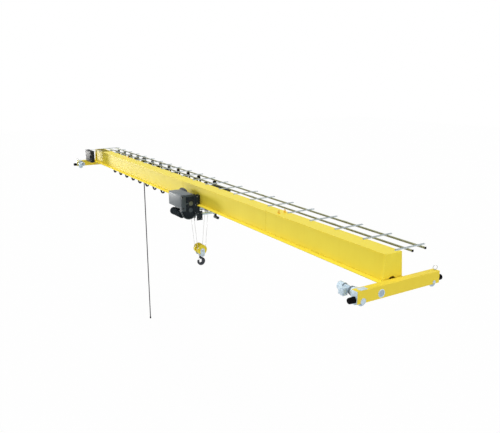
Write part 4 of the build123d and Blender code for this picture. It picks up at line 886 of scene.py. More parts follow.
    def bolt(self, at: Sequence[float], along: Vector, across: float) -> Shape:
        """Add a hexagon head on its washer.

        Args:
            at: Point on the surface under the washer.
            along: Direction away from the surface.
            across: Width of the head across its flats.

        Returns:
            This shape.
        """
        foot = Vector(at)
        washer, head, corner = across * 0.14, across * 0.42, across * 0.577
        self.rod(foot, along, across * 0.62, washer, sides=16)
        self.rod(foot + along * washer, along, corner, head, sides=6)
        top = foot + along * (washer + head)
        return self.rod(top, along, corner, across * 0.12, sides=6, end=across * 0.44)

    def bolt_ring(
        self, at: Sequence[float], along: Vector, radius: float, count: int, across: float,
        start: float = 0.0,
    ) -> Shape:
        """Add bolts evenly round a circle.

        Args:
            at: Centre of the circle on the surface.
            along: Direction away from the surface.
            radius: Radius of the circle.
            count: Number of bolts.
            across: Width of each head across its flats.
            start: Angle of the first bolt.

        Returns:
            This shape.
        """
        matrix = stand(at, along)
        for index in range(count):
            angle = start + math.tau * index / count
            place = matrix @ Vector((radius * math.cos(angle), radius * math.sin(angle), 0.0))
            self.bolt(place, along, across)
        return self

    def stamp(self, mesh: bpy.types.Mesh, matrix: Matrix) -> Shape:
        """Add a copy of a mesh at a place.

        Args:
            mesh: The mesh to copy.
            matrix: Its place.

        Returns:
            This shape.
        """
        part = bmesh.new()
        part.from_mesh(mesh)
        return self._join(part, matrix)

    def mesh(self, name: str) -> bpy.types.Mesh:
        """Close the shape and return it as a mesh with its faces outwards.

        Args:
            name: The mesh's name.

        Returns:
            The mesh.
        """
        bmesh.ops.recalc_face_normals(self.bm, faces=self.bm.faces)
        mesh = bpy.data.meshes.new(name)
        self.bm.to_mesh(mesh)
        self.bm.free()
        mesh.shade_smooth()
        mesh.set_sharp_from_angle(angle=SHARP_ANGLE)
        return mesh


class Workshop:
    """Makes pieces: keeps the frame, the materials and the list of what was made."""

    def __init__(self) -> None:
        """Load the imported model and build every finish."""
        self.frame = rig.load()
        self.made: list[bpy.types.Object] = []
        effects = Effects()
        self.materials = {finish: finish.make(effects) for finish in self._finishes()}

    def _finishes(self) -> Iterable[Finish]:
        """Return every finish named in this file."""
        return [value for value in globals().values() if isinstance(value, Finish)]

    def dress_nodes(self) -> None:
        """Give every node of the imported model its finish."""
        for finish, nodes in NODE_FINISHES.items():
            for node in nodes:
                data = self.frame["nodes"][node].data
                data.materials.clear()
                data.materials.append(self.materials[finish])

    def piece(self, name: str, shape: Shape, finish: Finish, body: str) -> bpy.types.Object:
        """Turn a shape into a piece that moves with a body.

        Args:
            name: The piece's name.
            shape: Its shape.
            finish: Its finish.
            body: The body that it moves with.

        Returns:
            The piece.
        """
        item = self.loose_piece(name, shape, finish)
        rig.ride(item, body)
        return item

    def loose_piece(self, name: str, shape: Shape, finish: Finish) -> bpy.types.Object:
        """Turn a shape into a piece that rides on nothing yet.

        Args:
            name: The piece's name.
            shape: Its shape.
            finish: Its finish.

        Returns:
            The piece.
        """
        item = bpy.data.objects.new(name, shape.mesh(name))
        bpy.context.scene.collection.objects.link(item)
        item.data.materials.append(self.materials[finish])
        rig.slot(item, finish.slot)
        self.made.append(item)
        return item


# Sub-assemblies


@dataclass
class BoxGirder:
    """Weld beads, splice seams, end bolts, gussets, diaphragms and far tread plate of the girder."""

    end: float = 10.57
    top: float = 0.895
    flange: float = 0.012
    flange_half: float = 0.235
    foot: float = 0.265
    tread: float = 0.281
    web_y: float = 0.205
    bead: float = 0.007
    splices: tuple[float, ...] = (-5.2, 0.35, 5.9)
    bolt_rows: Pair = (0.128, 0.215)
    bolt_places: Pair = (0.19, 0.25)
    bolt_across: float = 0.036
    gusset_places: tuple[float, ...] = (-0.26, -0.20, 0.20, 0.26)
    gusset: Point = (0.13, 0.012, 0.16)
    diaphragm: Point = (0.008, 0.196, 0.260)
    diaphragm_inset: float = 0.060
    plate_y: Pair = (-0.234, 0.170)
    plate_length: float = 1.32
    plate_thick: float = 0.004
    plate_overhang: float = 0.020
    rib_count: int = 32
    rib_pitch: float = 0.040
    rib_margins: Pair = (0.030, 0.020)
    rib_size: Pair = (0.003, 0.370)

    def build(self, shop: Workshop) -> None:
        """Make the girder's pieces.

        Args:
            shop: The workshop.
        """
        shop.piece("girder_weld_beads", self._beads(), WELD_YELLOW, "girder")
        shop.piece("girder_end_bolts", self._bolts(), BOLT_ZINC, "girder")
        shop.piece("girder_end_gussets", self._gussets(), GIRDER_YELLOW, "girder")
        shop.piece("girder_diaphragms", self._diaphragms(), SHADED_YELLOW, "girder")
        shop.piece("far_tread_plate", self._tread_plate(), PLATE_OLIVE, "girder")

    def _beads(self) -> Shape:
        """Return the fillet welds along the webs and the splice seams across them.

        Returns:
            The shape.
        """
        shape = Shape()
        under = self.top - self.flange
        for side in FRONT_AND_BACK:
            y = side * self.web_y
            for z in (under, self.tread):
                shape.rod((-self.end, y, z), X, self.bead, 2 * self.end, sides=8)
            for x in self.splices:
                shape.rod((x, y, self.tread), Z, self.bead / 2, under - self.tread, sides=6)
            for end in NEAR_AND_FAR:
                shape.rod((end * self.end, y, self.tread), Z, self.bead, self.top - self.tread, sides=8)
        for x in self.splices:
            foot = (x, -self.flange_half, self.top)
            shape.rod(foot, Y, self.bead / 2, 2 * self.flange_half, sides=6)
        return shape

    def _bolts(self) -> Shape:
        """Return the bolt heads that hold the girder to the carriages.

        Returns:
            The shape.
        """
        shape = Shape()
        for end in NEAR_AND_FAR:
            for side in FRONT_AND_BACK:
                for z in self.bolt_rows:
                    for y in self.bolt_places:
                        shape.bolt((end * self.end, side * y, z), X * -end, self.bolt_across)
        return shape

    def _diaphragms(self) -> Shape:
        """Return the plates inside the box behind the notches of the end plates.

        Returns:
            The shape.
        """
        shape = Shape()
        thick, half, height = self.diaphragm
        face, foot = self.end - self.diaphragm_inset, self.tread + 0.002
        for end in NEAR_AND_FAR:
            high = (end * (face - thick), half, self.tread + height)
            shape.block((end * face, -half, foot), high, edge=0.001)
        return shape

    def _tread_plate(self) -> Shape:
        """Return the ribbed plate that lies on the far end of the top flange; its dark olive colour is painted shade
        over that end of the girder.

        Returns:
            The shape.
        """
        shape = Shape()
        start, top = -self.end - self.plate_overhang, self.top + self.plate_thick
        front, back = self.plate_y
        radius, length = self.rib_size
        shape.block((start, front, self.top), (start + self.plate_length, back, top), edge=0.001)
        for index in range(self.rib_count):
            x = start + self.rib_margins[0] + self.rib_pitch * index
            shape.rod((x, front + self.rib_margins[1], top), Y, radius, length, sides=6)
        return shape

    def _gussets(self) -> Shape:
        """Return the triangular gussets under the girder ends.

        Returns:
            The shape.
        """
        shape = Shape()
        reach, thick, drop = self.gusset
        for end in NEAR_AND_FAR:
            root = end * self.end
            outline = ((root, self.foot), (root - end * reach, self.foot), (root, self.foot - drop))
            for y in self.gusset_places:
                shape.prism([(x, y - thick / 2, z) for x, z in outline], Y * thick)
        return shape


@dataclass
class EndCarriages:
    """Cover plates, ports, rings and bolts of the two end carriages."""

    middle: float = 10.751
    outer: float = 10.843
    inner: float = 10.659
    end: float = 1.215
    top: float = 0.340
    foot: float = 0.060
    margin: float = 0.004
    end_plate: float = 0.006
    buffer_z: float = 0.142
    wheel_y: float = 1.055
    wheel_z: float = 0.100
    bearing: Pair = (0.058, 0.010)
    port: Point = (-0.556, 0.176, 0.074)
    caps: Pair = (0.072, 0.044)
    flange_y: float = 0.300
    flange_z: Pair = (0.080, 0.320)
    bead: float = 0.006
    end_beads: Pair = (0.064, 0.336)
    thin_bead: float = 0.004
    cover_x: Pair = (10.700, 10.830)
    cover_y: Pair = (-1.125, -0.930)
    cover_thick: float = 0.012
    cover_screws_x: Pair = (10.712, 10.818)
    cover_screws_y: Pair = (-1.113, -0.942)
    ring_places: tuple[Pair, Pair] = ((1.0, 1.165), (-1.0, -1.165))
    ring: Point = (0.064, 0.050, 0.006)
    eye: Point = (0.016, 0.009, 0.005)
    buffer_ribs: tuple[float, ...] = (0.050, 0.080, 0.110)

    def build(self, shop: Workshop) -> None:
        """Make the carriages' pieces.

        Args:
            shop: The workshop.
        """
        shop.piece("carriage_blue_trim", self._trim(), PALE_BLUE, "girder")
        shop.piece("port_discs", self._port_discs(), PORT_BLUE, "girder")
        shop.piece("carriage_fasteners", self._fasteners(), BOLT_ZINC, "girder")
        shop.piece("carriage_lifting_rings", self._rings(), PIN_STEEL, "girder")
        shop.piece("carriage_weld_beads", self._beads(), WELD_YELLOW, "girder")
        shop.piece("buffer_ribs", self._buffer_ribs(), BUFFER_RUBBER, "girder")

    def _trim(self) -> Shape:
        """Return the port rings, top plates, end plates and bearing flanges.

        Returns:
            The shape.
        """
        shape = Shape()
        y, z, radius = self.port
        rim = [
            (radius - 0.004, -0.012), (radius - 0.004, 0.010), (radius + 0.002, 0.014),
            (radius + 0.013, 0.014), (radius + 0.017, 0.010), (radius + 0.017, -0.001),
        ]
        flange, thick = self.bearing
        for end in NEAR_AND_FAR:
            shape.lathe(rim, (end * self.outer, y, z), X * end, sides=40, closed=True)
            low = (end * self.cover_x[0], self.cover_y[0], self.top)
            high = (end * self.cover_x[1], self.cover_y[1], self.top + self.cover_thick)
            shape.block(low, high, edge=0.002)
            near, far = end * (self.inner + self.margin), end * (self.outer - self.margin)
            for side in FRONT_AND_BACK:
                low = (near, side * self.end, self.foot + self.margin)
                high = (far, side * (self.end + self.end_plate), self.top - self.margin)
                shape.block(low, high, edge=0.002)
            place = (end * self.inner, self.wheel_y, self.wheel_z)
            shape.rod(place, X * -end, flange, thick, sides=32, edge=0.003)
        return shape

    def _port_discs(self) -> Shape:
        """Return the covers set back inside the port rings.

        Returns:
            The shape.
        """
        shape = Shape()
        y, z, radius = self.port
        for end in NEAR_AND_FAR:
            shape.rod((end * (self.outer - 0.010), y, z), X * end, radius - 0.004, 0.006, sides=40)
        return shape

    def _fasteners(self) -> Shape:
        """Return the screws of caps, covers and buffer feet.

        Returns:
            The shape.
        """
        shape = Shape()
        for end in NEAR_AND_FAR:
            for side, radius in zip(FRONT_AND_BACK, self.caps):
                place = (end * (self.outer + 0.009), side * self.wheel_y, self.wheel_z)
                shape.bolt_ring(place, X * end, radius * 0.78, 4, 0.011, start=math.pi / 4)
            place = (end * (self.inner - self.bearing[1]), self.wheel_y, self.wheel_z)
            shape.bolt_ring(place, X * -end, 0.045, 4, 0.012, start=0.8)
            for x in self.cover_screws_x:
                for y in self.cover_screws_y:
                    shape.bolt((end * x, y, self.top + self.cover_thick), Z, 0.011)
            for side in FRONT_AND_BACK:
                place = (end * self.middle, side * (self.end + self.end_plate), self.buffer_z)
                shape.bolt_ring(place, Y * side, 0.084, 2, 0.016)
        return shape

    def _rings(self) -> Shape:
        """Return the wire rings on the carriage tops with their eye feet.

        Returns:
            The shape.
        """
        shape = Shape()
        rise, radius, wire = self.ring
        eye_rise, eye_radius, eye_wire = self.eye
        for end, y in self.ring_places:
            x = end * self.middle
            shape.ring((x, y, self.top + rise), (X - Y * 0.5).normalized(), radius, wire)
            shape.rod((x, y, self.top), Z, 0.018, 0.012, sides=16)
            shape.ring((x, y, self.top + eye_rise), X, eye_radius, eye_wire)
        return shape

    def _beads(self) -> Shape:
        """Return the welds where the joint flange meets the carriage box and along its end plates.

        Returns:
            The shape.
        """
        shape = Shape()
        low, high = self.flange_z
        width = self.outer - self.inner - 2 * self.margin
        for end in NEAR_AND_FAR:
            x = end * self.inner
            for z in self.flange_z:
                shape.rod((x, -self.flange_y, z), Y, self.bead, 2 * self.flange_y, sides=8)
            for side in FRONT_AND_BACK:
                shape.rod((x, side * self.flange_y, low), Z, self.bead, high - low, sides=8)
                for z in self.end_beads:
                    place = (end * (self.inner + self.margin), side * (self.end - 0.001), z)
                    shape.rod(place, X * end, self.thin_bead, width, sides=6)
        return shape

    def _buffer_ribs(self) -> Shape:
        """Return the moulded rings round each rubber buffer.

        Returns:
            The shape.
        """
        shape = Shape()
        for end in NEAR_AND_FAR:
            for side in FRONT_AND_BACK:
                for step in self.buffer_ribs:
                    place = (end * self.middle, side * (self.end + step), self.buffer_z)
                    shape.ring(place, Y, 0.0655, 0.0035)
        return shape


@dataclass
class TravelDrives:
    """Cowls, terminal boxes, screws and joints of the two travel drives."""

    gearbox_face: float = 10.563
    motor_y: float = -1.055
    motor_z: float = 0.222
    cowl_end: float = 10.109
    box_x: float = 10.335
    box_z: float = 0.190
    box_half: Pair = (0.090, 0.085)
    box_face_y: float = -1.212
    box_back_y: float = -1.105
    lid: Pair = (0.006, 0.008)
    lid_screws: Pair = (0.074, 0.069)
    glands: Pair = (-0.028, 0.028)
    cap_z: float = 0.030
    cap: Pair = (0.060, 0.014)
    gearbox_rows: tuple[Pair, ...] = ((0.050, -0.010), (0.070, 0.130), (0.050, 0.300))
    slots: tuple[float, ...] = (0.018, 0.032, 0.046, 0.060)
    joints: tuple[Pair, ...] = ((0.162, 0.088), (0.372, 0.094), (0.410, 0.100))

    def build(self, shop: Workshop) -> None:
        """Make the drives' pieces.

        Args:
            shop: The workshop.
        """
        shop.piece("drive_blue_details", self._details(), PALE_BLUE, "girder")
        shop.piece("drive_fasteners", self._fasteners(), PORT_BLUE, "girder")
        shop.piece("drive_grilles", self._grilles(), SHADOW_GAP, "girder")

    def _details(self) -> Shape:
        """Return the terminal boxes and lids, glands, cowl rims and gearbox covers.

        Returns:
            The shape.
        """
        shape = Shape()
        gland = [
            (0.0, 0.0), (0.013, 0.0), (0.013, 0.010), (0.010, 0.013), (0.010, 0.026), (0.006, 0.030),
            (0.0, 0.030),
        ]
        cowl = [
            (0.060, 0.0), (0.090, 0.0), (0.099, 0.012), (0.099, 0.150), (0.090, 0.156), (0.080, 0.156),
            (0.080, 0.010), (0.060, 0.010),
        ]
        half, half_z = self.box_half
        low, high = self.box_z - half_z, self.box_z + half_z
        inset, thick = self.lid
        for end in NEAR_AND_FAR:
            x = end * self.box_x
            shape.block((x - half, self.box_face_y, low), (x + half, self.box_back_y, high), edge=0.006)
            start = (x - half + inset, self.box_face_y - thick, low + inset)
            shape.block(start, (x + half - inset, self.box_face_y, high - inset), edge=0.003)
            for shift in self.glands:
                shape.lathe(gland, (x + shift, self.box_face_y + 0.030, low), Z * -1.0, sides=16)
            place = (end * self.cowl_end, self.motor_y, self.motor_z)
            shape.lathe(cowl, place, X * end, sides=40, closed=True)
            place = (end * self.gearbox_face, self.motor_y, self.cap_z)
            shape.rod(place, X * -end, *self.cap, sides=32, edge=0.004)
        return shape

    def _fasteners(self) -> Shape:
        """Return the screws of gearbox, flange and lid.

        Returns:
            The shape.
        """
        shape = Shape()
        wide, high = self.lid_screws
        for end in NEAR_AND_FAR:
            face = end * self.gearbox_face
            for reach, z in self.gearbox_rows:
                for side in FRONT_AND_BACK:
                    shape.bolt((face, self.motor_y + side * reach, z), X * -end, 0.014)
            place = (face - end * self.cap[1], self.motor_y, self.cap_z)
            shape.bolt_ring(place, X * -end, 0.046, 6, 0.010)
            place = (face - end * 0.034, self.motor_y, self.motor_z)
            shape.bolt_ring(place, X * -end, 0.088, 8, 0.010, start=0.2)
            for dx in (-wide, wide):
                for dz in (-high, high):
                    place = (end * self.box_x + dx, self.box_face_y - self.lid[1], self.box_z + dz)
                    shape.bolt(place, Y * -1.0, 0.008)
        return shape

    def _grilles(self) -> Shape:
        """Return the dark ring slots in the fan cowls and the dark joints along the motors.

        Returns:
            The shape.
        """
        shape = Shape()
        for end in NEAR_AND_FAR:
            for radius in self.slots:
                place = (end * self.cowl_end, self.motor_y, self.motor_z)
                shape.band(place, X * -end, radius, 0.006, 0.0006, 32)
            for reach, radius in self.joints:
                shape.ring((end * (self.cowl_end + reach), self.motor_y, self.motor_z), X, radius, 0.005)
        return shape


@dataclass
class CableRails:
    """Channel arms, clamps, bolts and joint sleeves of the two cable rails."""

    arm_count: int = 22
    arm_pitch: float = 1.0
    rail_lines: Pair = (0.492, 0.895)
    top: float = 0.895
    rail: float = 0.040
    sleeves: tuple[float, ...] = (-8.0, -4.0, 0.0, 4.0, 8.0)
    sleeve: Point = (0.090, 0.004, 0.0035)
    arm: Point = (0.017, 0.026, 0.003)
    arm_reach: Pair = (0.128, 1.048)
    straps: Pair = (-9.780, -10.400)
    strap: Pair = (0.025, 0.010)
    strap_end: float = -0.118
    strap_foot: float = 0.350
    cabinet_back: float = -0.575
    clamp_half: float = 0.015
    clamp_drop: float = 0.030
    clamp_thick: float = 0.005
    clamp_foot: float = 0.024
    pad_half: float = 0.026
    pad_y: Pair = (0.135, 0.232)
    pad_thick: float = 0.003
    pad_bolts: Pair = (0.160, 0.208)
    clamp_bolts: Pair = (-0.034, 0.034)
    bolt_rise: float = 0.004

    def build(self, shop: Workshop) -> None:
        """Make the rails' pieces.

        Args:
            shop: The workshop.
        """
        arms = shop.piece("channel_arms", self._channels(), ARM_GREY, "girder")
        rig.replaces(arms, "bracket_arms")
        shop.piece("rail_clamps", self._clamps(), ARM_GREY, "girder")
        shop.piece("rail_bolts", self._bolts(), BOLT_ZINC, "girder")
        shop.piece("rail_sleeves", self._sleeves(), RAIL_ZINC, "girder")

    def _arms(self) -> list[float]:
        """Return the places of the arms along the girder."""
        return [self.arm_pitch * (index - (self.arm_count - 1) / 2) for index in range(self.arm_count)]

    def _channels(self) -> Shape:
        """Return the thin channel arms and the two straps that carry the cabinet.

        Returns:
            The shape.
        """
        shape = Shape()
        half, high, wall = self.arm
        start, stop = self.arm_reach
        outline = (
            (-half, 0.0), (half, 0.0), (half, high), (half - wall, high), (half - wall, wall),
            (wall - half, wall), (wall - half, high), (-half, high),
        )
        for x in self._arms():
            shape.prism([(x + dx, start, self.top + dz) for dx, dz in outline], Y * (stop - start))
        half, thick = self.strap
        back, rim = self.cabinet_back, self.top + thick
        for x in self.straps:
            shape.block((x - half, back, self.top), (x + half, self.strap_end, rim), edge=0.001)
            shape.block((x - half, back, self.strap_foot), (x + half, back + thick, rim), edge=0.001)
        return shape

    def _clamps(self) -> Shape:
        """Return the hanger plates that hold the rails under the arms, and the arms' pads.

        Returns:
            The shape.
        """
        shape = Shape()
        half, top = self.clamp_half, self.top
        legs = ((top - self.clamp_drop, self.clamp_thick), (top - self.clamp_thick, self.clamp_foot))
        front, back = self.pad_y
        for x in self._arms():
            for y in self.rail_lines:
                for side in FRONT_AND_BACK:
                    face = y + side * self.rail / 2
                    for z, reach in legs:
                        shape.block((x - half, face, z), (x + half, face + side * reach, top), edge=0.001)
            high = (x + self.pad_half, back, top + self.pad_thick)
            shape.block((x - self.pad_half, front, top), high, edge=0.001)
        return shape

    def _bolts(self) -> Shape:
        """Return the bolts of arms and clamps.

        Returns:
            The shape.
        """
        shape = Shape()
        z = self.top + self.bolt_rise
        for x in self._arms():
            for y in self.pad_bolts:
                shape.bolt((x, y, z), Z, 0.016)
            for y in self.rail_lines:
                for shift in self.clamp_bolts:
                    shape.bolt((x, y + shift, z), Z, 0.012)
        return shape

    def _sleeves(self) -> Shape:
        """Return the sleeves over the rail joints.

        Returns:
            The shape.
        """
        shape = Shape()
        reach, wall, lid = self.sleeve
        inside = self.rail / 2
        half, top = inside + wall, self.top
        for x in self.sleeves:
            for y in self.rail_lines:
                for side in FRONT_AND_BACK:
                    low = (x - reach, y + side * inside, top - self.rail)
                    shape.block(low, (x + reach, y + side * half, top), edge=0.001)
                shape.block((x - reach, y - half, top), (x + reach, y + half, top + lid), edge=0.001)
        return shape


@dataclass
class CableTrolleys:
    """Cheek plates and bolts of the cable trolleys, and the nuts of the cable ends."""

    inner_y: float = 0.492
    outer_y: float = 0.895
    saddle_z: float = 0.700
    inner: tuple[float, float, int] = (0.830, 0.920, 13)
    outer: tuple[float, float, int] = (-0.576, 0.961, 11)
    tow: float = 0.746
    arc: float = 0.1053
    cheek_x: float = 0.060
    cheek_y: Pair = (0.0385, 0.0430)
    cheek_z: Pair = (0.020, 0.148)
    bolts_x: Pair = (-0.040, 0.040)
    bolts_z: Pair = (0.040, 0.128)
    pin: Pair = (0.134, 0.006)
    gland_drop: float = 0.150
    gland_steps: tuple[float, ...] = (0.030, 0.060, 0.086)

    def build(self, shop: Workshop) -> None:
        """Make the trolleys' pieces.

        Args:
            shop: The workshop.
        """
        clamp = self._clamp().mesh("trolley_clamp_form")
        for name, (y, places) in zip(("inner", "outer"), self.rows()):
            shape = Shape()
            for x in places:
                shape.stamp(clamp, Matrix.Translation((x, y, self.saddle_z)))
            shop.piece(f"trolley_clamps_{name}", shape, BLACK_PLASTIC, "girder")
        shop.piece("cable_end_glands", self._glands(), BLACK_PLASTIC, "girder")
        bpy.data.meshes.remove(clamp)

    def rows(self) -> tuple[tuple[float, list[float]], tuple[float, list[float]]]:
        """Return the line and the trolleys' places, nearest first, of the inner and the outer rail.

        Returns:
            Y and the list of X of each rail.
        """
        first, pitch, count = self.inner
        inner = [first - pitch * index for index in range(count)]
        first, pitch, count = self.outer
        outer = [self.tow] + [first - pitch * index for index in range(count)]
        return (self.inner_y, inner), (self.outer_y, outer)

    def _clamp(self) -> Shape:
        """Return one trolley's cheek plates and cross bolts, with its saddle centre at the origin.

        Returns:
            The shape.
        """
        shape = Shape()
        inside, outside = self.cheek_y
        low, high = self.cheek_z
        for side in FRONT_AND_BACK:
            start, stop = (-self.cheek_x, side * inside, low), (self.cheek_x, side * outside, high)
            shape.block(start, stop, edge=0.0015)
            for x in self.bolts_x:
                for z in self.bolts_z:
                    shape.bolt((x, side * outside, z), Y * side, 0.010)
        pin_z, radius = self.pin
        for x in self.bolts_x:
            shape.rod((x, -inside, pin_z), Y, radius, 2 * inside, sides=12)
        return shape

    def _glands(self) -> Shape:
        """Return the clamping nuts round the cable ends on top of the couplings.

        Returns:
            The shape.
        """
        shape = Shape()
        low = self.saddle_z - self.gland_drop
        nut = [(0.0262, 0.0), (0.034, 0.0), (0.034, 0.016), (0.029, 0.024), (0.0262, 0.024)]
        for y, places in self.rows():
            for x in (places[0] + self.arc, places[-1] - self.arc):
                shape.lathe(nut, (x, y, low), Z, sides=24, closed=True)
                for step in self.gland_steps:
                    shape.ring((x, y, low - step), Z, 0.036, 0.002)
        return shape


class Lay(Enum):
    """How a cable is held."""

    LOOSE = "loose"
    HANGING = "hanging"


@dataclass
class SupplyCables:
    """The two looped supply cables and the hanging pendant cable."""

    trolleys: CableTrolleys
    band: Pair = (0.074, 0.028)
    depth: float = 0.985
    tail: float = 0.150
    across: tuple[float, ...] = (0.888, 0.705, 0.578, 0.437, 0.175)
    down: tuple[float, ...] = (0.305, 0.609, 0.802, 0.926, 1.00)
    lengths: Pair = (31.29, 29.18)
    pendant: Point = (-6.430, 0.835, 0.740)
    pendant_foot: float = -7.290
    pendant_radius: float = 0.0228

    def build(self, shop: Workshop) -> None:
        """Args:
            shop: The workshop.
        """
        names = (("supply_loops_inner", "loop_cable_inner"), ("supply_loops_outer", "loop_cable_outer"))
        for (name, node), (y, places), length in zip(names, self.trolleys.rows(), self.lengths):
            route = self._route(places, y)
            self._cable(shop, name, node, route, self.band, CABLE_RUBBER, length, Lay.LOOSE)
        x, y, z = self.pendant
        middle = (z + self.pendant_foot) / 2
        drop = [(x, y, z), (x, y, middle), (x, y, self.pendant_foot)]
        section = (2 * self.pendant_radius,) * 2
        self._cable(
            shop, "pendant_drop", "pendant_cable", drop, section, PENDANT_RUBBER, z - self.pendant_foot,
            Lay.HANGING, far_end="connector", ends=[shop.frame["nodes"]["pendant_connector"]],
        )

    def _saddle(self, x: float, y: float) -> list[Point]:
        """Return the four control points over one saddle, nearest first.

        Args:
            x: The saddle's place along the girder.
            y: Its place across the girder.

        Returns:
            The points.
        """
        arc, z = self.trolleys.arc, self.trolleys.saddle_z
        corner = arc * math.tan(math.pi / 8)
        steps = ((arc, corner), (corner, arc), (-corner, arc), (-arc, corner))
        return [(x + along, y, z + up) for along, up in steps]

    def _route(self, places: Sequence[float], y: float) -> list[Point]:
        """Return the control points of one looped cable, nearest end first.

        Args:
            places: The trolleys' places along the girder.
            y: Their place across the girder.

        Returns:
            The points.
        """
        arc, z = self.trolleys.arc, self.trolleys.saddle_z
        shares = list(zip(self.across, self.down))
        points = [(places[0] + arc, y, z - self.tail)]
        for x, following in zip(places, places[1:]):
            points += self._saddle(x, y)
            centre, half = (x + following) / 2, (x - following) / 2 - arc
            points += [(centre + half * a, y, z - self.depth * d) for a, d in shares]
            points += [(centre - half * a, y, z - self.depth * d) for a, d in reversed(shares)]
        points += self._saddle(places[-1], y)
        return [*points, (places[-1] - arc, y, z - self.tail)]

    def _cable(
        self, shop: Workshop, name: str, node: str, points: Sequence[Point], section: Pair,
        finish: Finish, length: float, lay: Lay, far_end: str = "object",
        ends: Sequence[bpy.types.Object] = (),
    ) -> None:
        """Args:
            shop: The workshop.
            name: The piece's name.
            node: The node that it replaces.
            points: Control points of its route.
            section: Its width across the loops and its thickness.
            finish: Its finish.
            length: Its real length.
            lay: How it is held.
            far_end: What is on its far end.
            ends: The pieces on it.
        """
        curve = bpy.data.curves.new(name, "CURVE")
        curve.dimensions = "3D"
        curve.bevel_depth = section[1] / 2
        curve.extrude = (section[0] - section[1]) / 2
        curve.bevel_resolution = 3
        curve.resolution_u = 6
        curve.use_fill_caps = True
        spline = curve.splines.new("NURBS")
        spline.points.add(len(points) - 1)
        for point, place in zip(spline.points, points):
            point.co = (*place, 1.0)
        spline.order_u = 3
        spline.use_endpoint_u = True
        item = bpy.data.objects.new(name, curve)
        bpy.context.scene.collection.objects.link(item)
        curve.materials.append(shop.materials[finish])
        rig.slot(item, finish.slot)
        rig.replaces(item, node)
        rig.ride(item, "girder")
        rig.cord(
            item, exit=points[0], length=length, diameter=section[0], far_end=far_end,
            stiffness="limp", lay=lay.value, with_pieces=list(ends),
        )
        shop.made.append(item)


@dataclass
class ControlCabinet:
    """Rain lip, door panel, louvres, handle, hinges, glands and bolts of the control cabinet."""

    far: float = -10.550
    near: float = -9.630
    front: float = -0.765
    back: float = -0.575
    foot: float = 0.340
    top: float = 0.905
    lip: Point = (0.006, 0.010, 0.004)
    door: Pair = (0.034, 0.006)
    louvres: int = 7
    louvre_pitch: float = 0.018
    louvre_start: Pair = (0.260, 0.090)
    louvre: Point = (0.180, 0.010, 0.012)
    handle_reach: float = 0.075
    hinge_margin: float = 0.100
    glands: int = 8
    gland_start: float = 0.120
    gland_pitch: float = 0.095
    strap_reach: float = 0.150
    strap_bolts: Pair = (-0.200, -0.150)

    def build(self, shop: Workshop) -> None:
        """Make the cabinet's pieces.

        Args:
            shop: The workshop.
        """
        shop.piece("cabinet_trim", self._trim(), CABINET_GREY, "girder")
        shop.piece("cabinet_fittings", self._fittings(), BLACK_PLASTIC, "girder")
        shop.piece("cabinet_bolts", self._bolts(), BOLT_ZINC, "girder")

    def _trim(self) -> Shape:
        """Return the rain lip, door panel and louvres.

        Returns:
            The shape.
        """
        shape = Shape()
        wide, rise, drop = self.lip
        low = (self.far - wide, self.front - rise, self.top - drop)
        shape.block(low, (self.near + wide, self.back, self.top + rise), edge=0.003)
        inset, proud = self.door
        face = self.front - proud
        high = (self.near - inset, self.front, self.top - inset)
        shape.block((self.far + inset, face, self.foot + inset), high, edge=0.004)
        length, depth, height = self.louvre
        x, z = self.near - self.louvre_start[0], self.foot + self.louvre_start[1]
        for index in range(self.louvres):
            low = z + self.louvre_pitch * index
            shape.prism([(x, face, low), (x, face - depth, low), (x, face, low + height)], X * length)
        return shape

    def _fittings(self) -> Shape:
        """Return the swing handle, hinges and cable glands.

        Returns:
            The shape.
        """
        shape = Shape()
        x, front, middle = self.near - self.handle_reach, self.front, (self.foot + self.top) / 2
        low, high = (x - 0.014, front - 0.016, middle - 0.075), (x + 0.014, front - 0.006, middle + 0.075)
        shape.block(low, high, edge=0.004)
        low, high = (x - 0.009, front - 0.030, middle - 0.060), (x + 0.009, front - 0.020, middle + 0.020)
        shape.block(low, high, edge=0.003)
        shape.rod((x, front - 0.006, middle + 0.045), Y * -1.0, 0.011, 0.020, sides=20, edge=0.002)
        hinge = self.far + 0.020
        for z in (self.foot + self.hinge_margin, middle, self.top - self.hinge_margin):
            shape.rod((hinge + 0.002, front - 0.009, z - 0.028), Z, 0.008, 0.056, sides=12)
            low, high = (hinge, front - 0.010, z - 0.024), (hinge + 0.032, front - 0.004, z + 0.024)
            shape.block(low, high, edge=0.001)
        gland = [
            (0.0, 0.0), (0.017, 0.0), (0.017, 0.012), (0.013, 0.016), (0.013, 0.030), (0.008, 0.036),
            (0.0, 0.036),
        ]
        for index in range(self.glands):
            x = self.far + self.gland_start + self.gland_pitch * index
            shape.lathe(gland, (x, (self.front + self.back) / 2, self.foot), Z * -1.0, sides=12)
        return shape

    def _bolts(self) -> Shape:
        """Return the bolts of the cabinet straps on the girder top.

        Returns:
            The shape.
        """
        shape = Shape()
        for x in (self.near - self.strap_reach, self.far + self.strap_reach):
            for y in self.strap_bolts:
                shape.bolt((x, y, self.top), Z, 0.016)
        return shape


